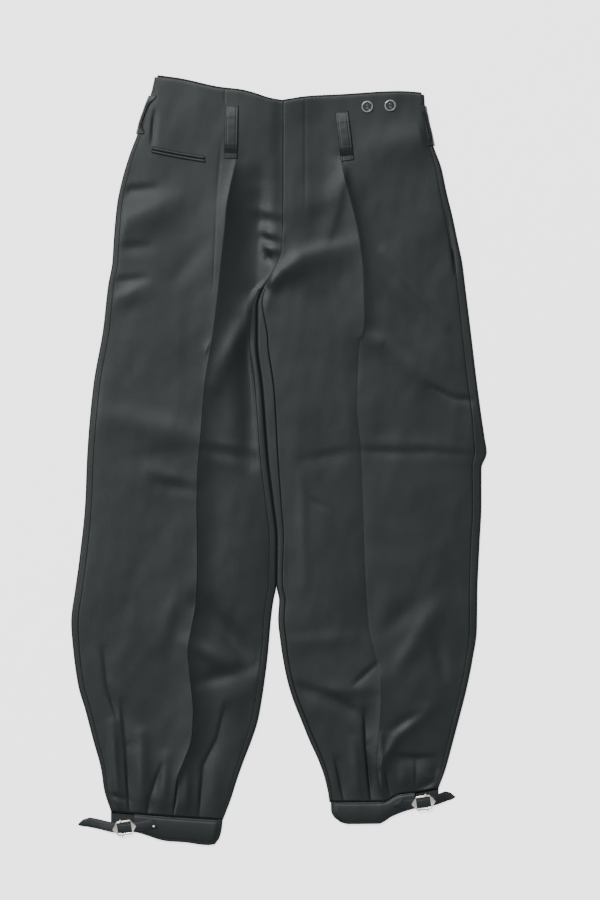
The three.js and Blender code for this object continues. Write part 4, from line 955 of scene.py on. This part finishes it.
def strap_point(rows):
    """Points on a strap: u across it from its left side, and v from its first row to its last."""
    rows = np.array(rows, float)
    steps = np.hypot(np.diff(rows[:, 0]), np.diff(rows[:, 1]))
    at = np.concatenate([[0], np.cumsum(steps)])

    def value(column, v):
        return np.interp(v * at[-1], at, rows[:, column])

    def point(u, v, lift=0.0):
        x, y, z = (value(column, v) for column in range(3))
        step = 3 / at[-1]
        ahead, behind = np.clip(v + step, 0, 1), np.clip(v - step, 0, 1)
        run_x, run_y = value(0, ahead) - value(0, behind), value(1, ahead) - value(1, behind)
        length = np.hypot(run_x, run_y)
        reach = mix(value(3, v), -value(4, v), u)
        edge = np.abs(2 * u - 1)
        crown = STRAP_CROWN * (1 - edge ** 2) - STRAP_ROLL * edge ** 12
        from_end = np.minimum(v, 1 - v) * at[-1]
        groove = STRAP_GROOVE * np.exp(-((edge - STRAP_GROOVE_AT) / STRAP_GROOVE_WIDTH) ** 2)
        groove = groove * smooth(GROOVE_FROM, GROOVE_FULL, from_end)
        top = z + STRAP_THICKNESS + crown - groove + lift
        return np.stack([x - run_y / length * reach, y + run_x / length * reach, top], axis=-1)

    return point


# Each strap's stitch lines: place across it of the upper and of the lower one, and where they end.
STRAP_SEWN = {"right": (0.14, 0.82, 0.884, 0.954), "left": (0.86, 0.18, 0.83, 0.925)}
strap_pieces = {}
for side, rows in (("right", RIGHT_STRAP), ("left", LEFT_STRAP)):
    point = strap_point(rows)
    strap = cloth_piece(f"strap_{side}", 20, 120, point, STRAP_THICKNESS - 0.15, turn_over=True,
                        cloth=(STRAP_CLOTH, "strap"))
    upper, lower, upper_end, lower_end = STRAP_SEWN[side]
    along = np.linspace(0, 1, 90)
    strap_stitches = stitches(f"strap_{side}_stitches", [
        point(np.full_like(along, upper), mix(0.08, upper_end, along), -0.02),
        point(np.full_like(along, lower), mix(0.08, lower_end, along), -0.02),
        point(mix(upper, lower, along), mix(upper_end, lower_end, along), 0.05)], "strap")
    strap_pieces[side] = [strap, strap_stitches]

# ---- Buckles ----
# Nickel-plated: a six-sided frame with broad bevelled ends over the strap, and a bar under the
# strap whose two ends hook over the frame. A small domed rivet holds the sewn end of the right
# strap.
silver_finish, silver_shader, silver_place = new_material("nickel plate", Metallic=0.75)
scratches = silver_place.make("ShaderNodeTexNoise", {}, {
    "Vector": silver_place, "Scale": 700.0, "Detail": 5.0, "Distortion": 2.0})
silver_bump = silver_place.make("ShaderNodeBump", {}, {
    "Height": scratches, "Strength": 0.12, "Distance": 0.0001})
connect(silver_shader, silver_place, Roughness=scratches * 0.2 + 0.2, Normal=silver_bump,
        Base_Color=silver_place.make("ShaderNodeValToRGB", {"stops": [
            (0.25, (0.62, 0.60, 0.53, 1)), (0.7, (0.88, 0.86, 0.79, 1))]}, {0: scratches}))
FRAME_OUTLINE = [(16.5, 0), (8.8, 10), (-8.8, 10), (-16.5, 0), (-8.8, -10), (8.8, -10)]
FRAME_OPENING = [(9.4, 7.2), (-9.4, 7.2), (-9.4, -7.2), (9.4, -7.2)]
FRAME_LOW, FRAME_TOP = 7.9, 9.9
BAR_SIDE = [
    (-11.6, 3.7), (11.6, 3.7), (11.6, 11.2), (8, 11.2), (8, 10.1), (10.4, 10.1), (10.4, 5.2),
    (-10.4, 5.2), (-10.4, 10.1), (-8, 10.1), (-8, 11.2), (-11.6, 11.2),
]
BAR_WIDTH, BAR_OUT = 2.2, 4
FRAME_BEVEL, BAR_BEVEL = 0.7, 0.3
SHARP_ANGLE, SHADED_ANGLE = 0.5, math.radians(40)
# Each buckle's turn and place, and how far along the strap from its middle the bar lies.
BUCKLES = (("right", math.radians(9.5), -208.5, -496.2, -BAR_OUT),
           ("left", math.radians(8), 195, -462.4, BAR_OUT))
RIVET_PLACE = (-168.8, -494.1)
RIVET_DOME = [(1.7, 7.6), (1.7, 8.5), (1.4, 8.95), (0.8, 9.25), (0, 9.35)]
RIVET_STEPS = 20


def bevel_sharp(bm, width):
    sharp = [edge for edge in bm.edges
             if len(edge.link_faces) == 2 and edge.calc_face_angle() > SHARP_ANGLE]
    bmesh.ops.bevel(bm, geom=sharp, offset=width, offset_type="OFFSET", segments=3, profile=0.5,
                    affect="EDGES", material=-1, clamp_overlap=True)


def metal_piece(name, bm, turn, x, y, nodes):
    """Turns a shape, puts it at its place and makes it a plated piece."""
    bmesh.ops.recalc_face_normals(bm, faces=bm.faces)
    where = Matrix.Scale(MM, 4) @ Matrix.Translation((x, y, 0)) @ Matrix.Rotation(turn, 4, "Z")
    bmesh.ops.transform(bm, verts=bm.verts, matrix=where)
    for face in bm.faces:
        face.smooth = True
    mesh = finished(name, bm)
    mesh.set_sharp_from_angle(angle=SHADED_ANGLE)
    return piece(name, mesh, silver_finish, nodes, "buckle")


rivet = spun(RIVET_DOME, RIVET_STEPS)
bmesh.ops.remove_doubles(rivet, verts=rivet.verts, dist=0.01)
metal_piece("strap_right_rivet", rivet, 0, *RIVET_PLACE, [])

for side, turn, x, y, out in BUCKLES:
    bm = bmesh.new()
    edges = []
    for outline in (FRAME_OUTLINE, FRAME_OPENING):
        corners = [bm.verts.new((px, py, FRAME_LOW)) for px, py in outline]
        edges += [bm.edges.new(pair) for pair in zip(corners, corners[1:] + corners[:1])]
    plate = bmesh.ops.triangle_fill(bm, use_beauty=True, edges=edges, normal=(0, 0, 1))["geom"]
    plate = [item for item in plate if isinstance(item, bmesh.types.BMFace)]
    raised = bmesh.ops.extrude_face_region(bm, geom=plate, use_keep_orig=True)["geom"]
    moved(bm, raised, (0, 0, FRAME_TOP - FRAME_LOW))
    bevel_sharp(bm, FRAME_BEVEL)
    metal_piece(f"buckle_frame_{side}_plate", bm, turn, x, y, [f"buckle_frame_{side}"])
    bm = bmesh.new()
    corners = [bm.verts.new((out - BAR_WIDTH / 2, py, pz)) for py, pz in BAR_SIDE]
    cheek = bm.faces.new(corners)
    grown = bmesh.ops.extrude_face_region(bm, geom=[cheek], use_keep_orig=True)["geom"]
    moved(bm, grown, (BAR_WIDTH, 0, 0))
    bevel_sharp(bm, BAR_BEVEL)
    metal_piece(f"buckle_bar_{side}_wire", bm, turn, x, y, [f"buckle_bar_{side}"])
    tab = bpy.data.objects[f"buckle_tab_{side}"]
    tab.data.materials.clear()
    tab.data.materials.append(STRAP_CLOTH)

# ---- Fly stitching ----
# The left front's facing is held by one line of stitches that runs down beside the fly and
# hooks in to its foot.
FLY_LINE_X, FLY_LINE_TOP, FLY_LINE_BEND = 44.5, 483, 330
FLY_HOOK_WIDTH, FLY_HOOK_HEIGHT = 33, 62
turns = np.linspace(0.05, 1.5, 24)
fly_x = np.concatenate([np.full(60, FLY_LINE_X), FLY_LINE_X - FLY_HOOK_WIDTH * (1 - np.cos(turns))])
fly_y = np.concatenate([np.linspace(FLY_LINE_TOP, FLY_LINE_BEND, 60),
                        FLY_LINE_BEND - FLY_HOOK_HEIGHT * np.sin(turns)])
fly_stitches = stitches("fly_stitches", [
    np.column_stack([fly_x, fly_y, cloth_top(fly_x, fly_y) - 0.02])])

# ---- Panel sizes ----
# Each side's flat width and length and its area are listed here, but the loop only lists the
# side's strap pieces and makes nothing from them. The fronts lie on the backs, and the backs and
# cuffs are folded round.
for side, flat, area in (("right", (0.28, 0.04), 0.0090), ("left", (0.27, 0.04), 0.0073)):
    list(strap_pieces[side])

# ---- Floor and light ----
# A plain pale floor that glows, lit by a far window from the upper left. Two weak lights fill
# the shadows from the right and from the side, and the surroundings are dim.
GROUND_SIZE, GROUND_HEIGHT = 6000, -0.5
floor = bpy.data.objects.new("floor", grid_mesh("floor", 1, 1, lambda u, v: np.stack(
    [(u - 0.5) * GROUND_SIZE, (0.5 - v) * GROUND_SIZE, np.full_like(u, GROUND_HEIGHT)], axis=1)))
bpy.context.scene.collection.objects.link(floor)
floor_finish, floor_shader, floor_place = new_material(
    "pale floor", Roughness=0.8, Emission_Color=(1, 1, 1, 1), Emission_Strength=2.0)
speckle = floor_place.make("ShaderNodeTexNoise", {}, {"Vector": floor_place, "Scale": 40.0})
connect(floor_shader, floor_place, Base_Color=floor_place.make(
    "ShaderNodeValToRGB", {"stops": [(0, (0.86, 0.86, 0.86, 1)), (1, (0.9, 0.9, 0.9, 1))]},
    {0: speckle}))
floor.data.materials.append(floor_finish)

# Each light's place and width in metres, and its power in watts.
LIGHTS = (
    ("window", (-3.0, 5.6, 14.0), 3.0, 2400),
    ("fill", (2.4, -3.4, 7.0), 2.6, 45),
    ("side window", (-2.6, 1.75, 1.75), 1.1, 20),
)
SURROUNDINGS, SURROUNDINGS_STRENGTH = (0.9, 0.93, 1, 1), 0.14

for name, place, size, power in LIGHTS:
    light = bpy.data.objects.new(name, bpy.data.lights.new(name, "AREA"))
    light.data.shape = "DISK"
    light.data.size = size
    light.data.energy = power
    light.location = place
    light.rotation_euler = (-Vector(place)).to_track_quat("-Z", "Y").to_euler()
    bpy.context.scene.collection.objects.link(light)

world = bpy.data.worlds.new("studio")
bpy.context.scene.world = world
world.use_nodes = True
background = world.node_tree.nodes["Background"]
background.inputs["Color"].default_value = SURROUNDINGS
background.inputs["Strength"].default_value = SURROUNDINGS_STRENGTH
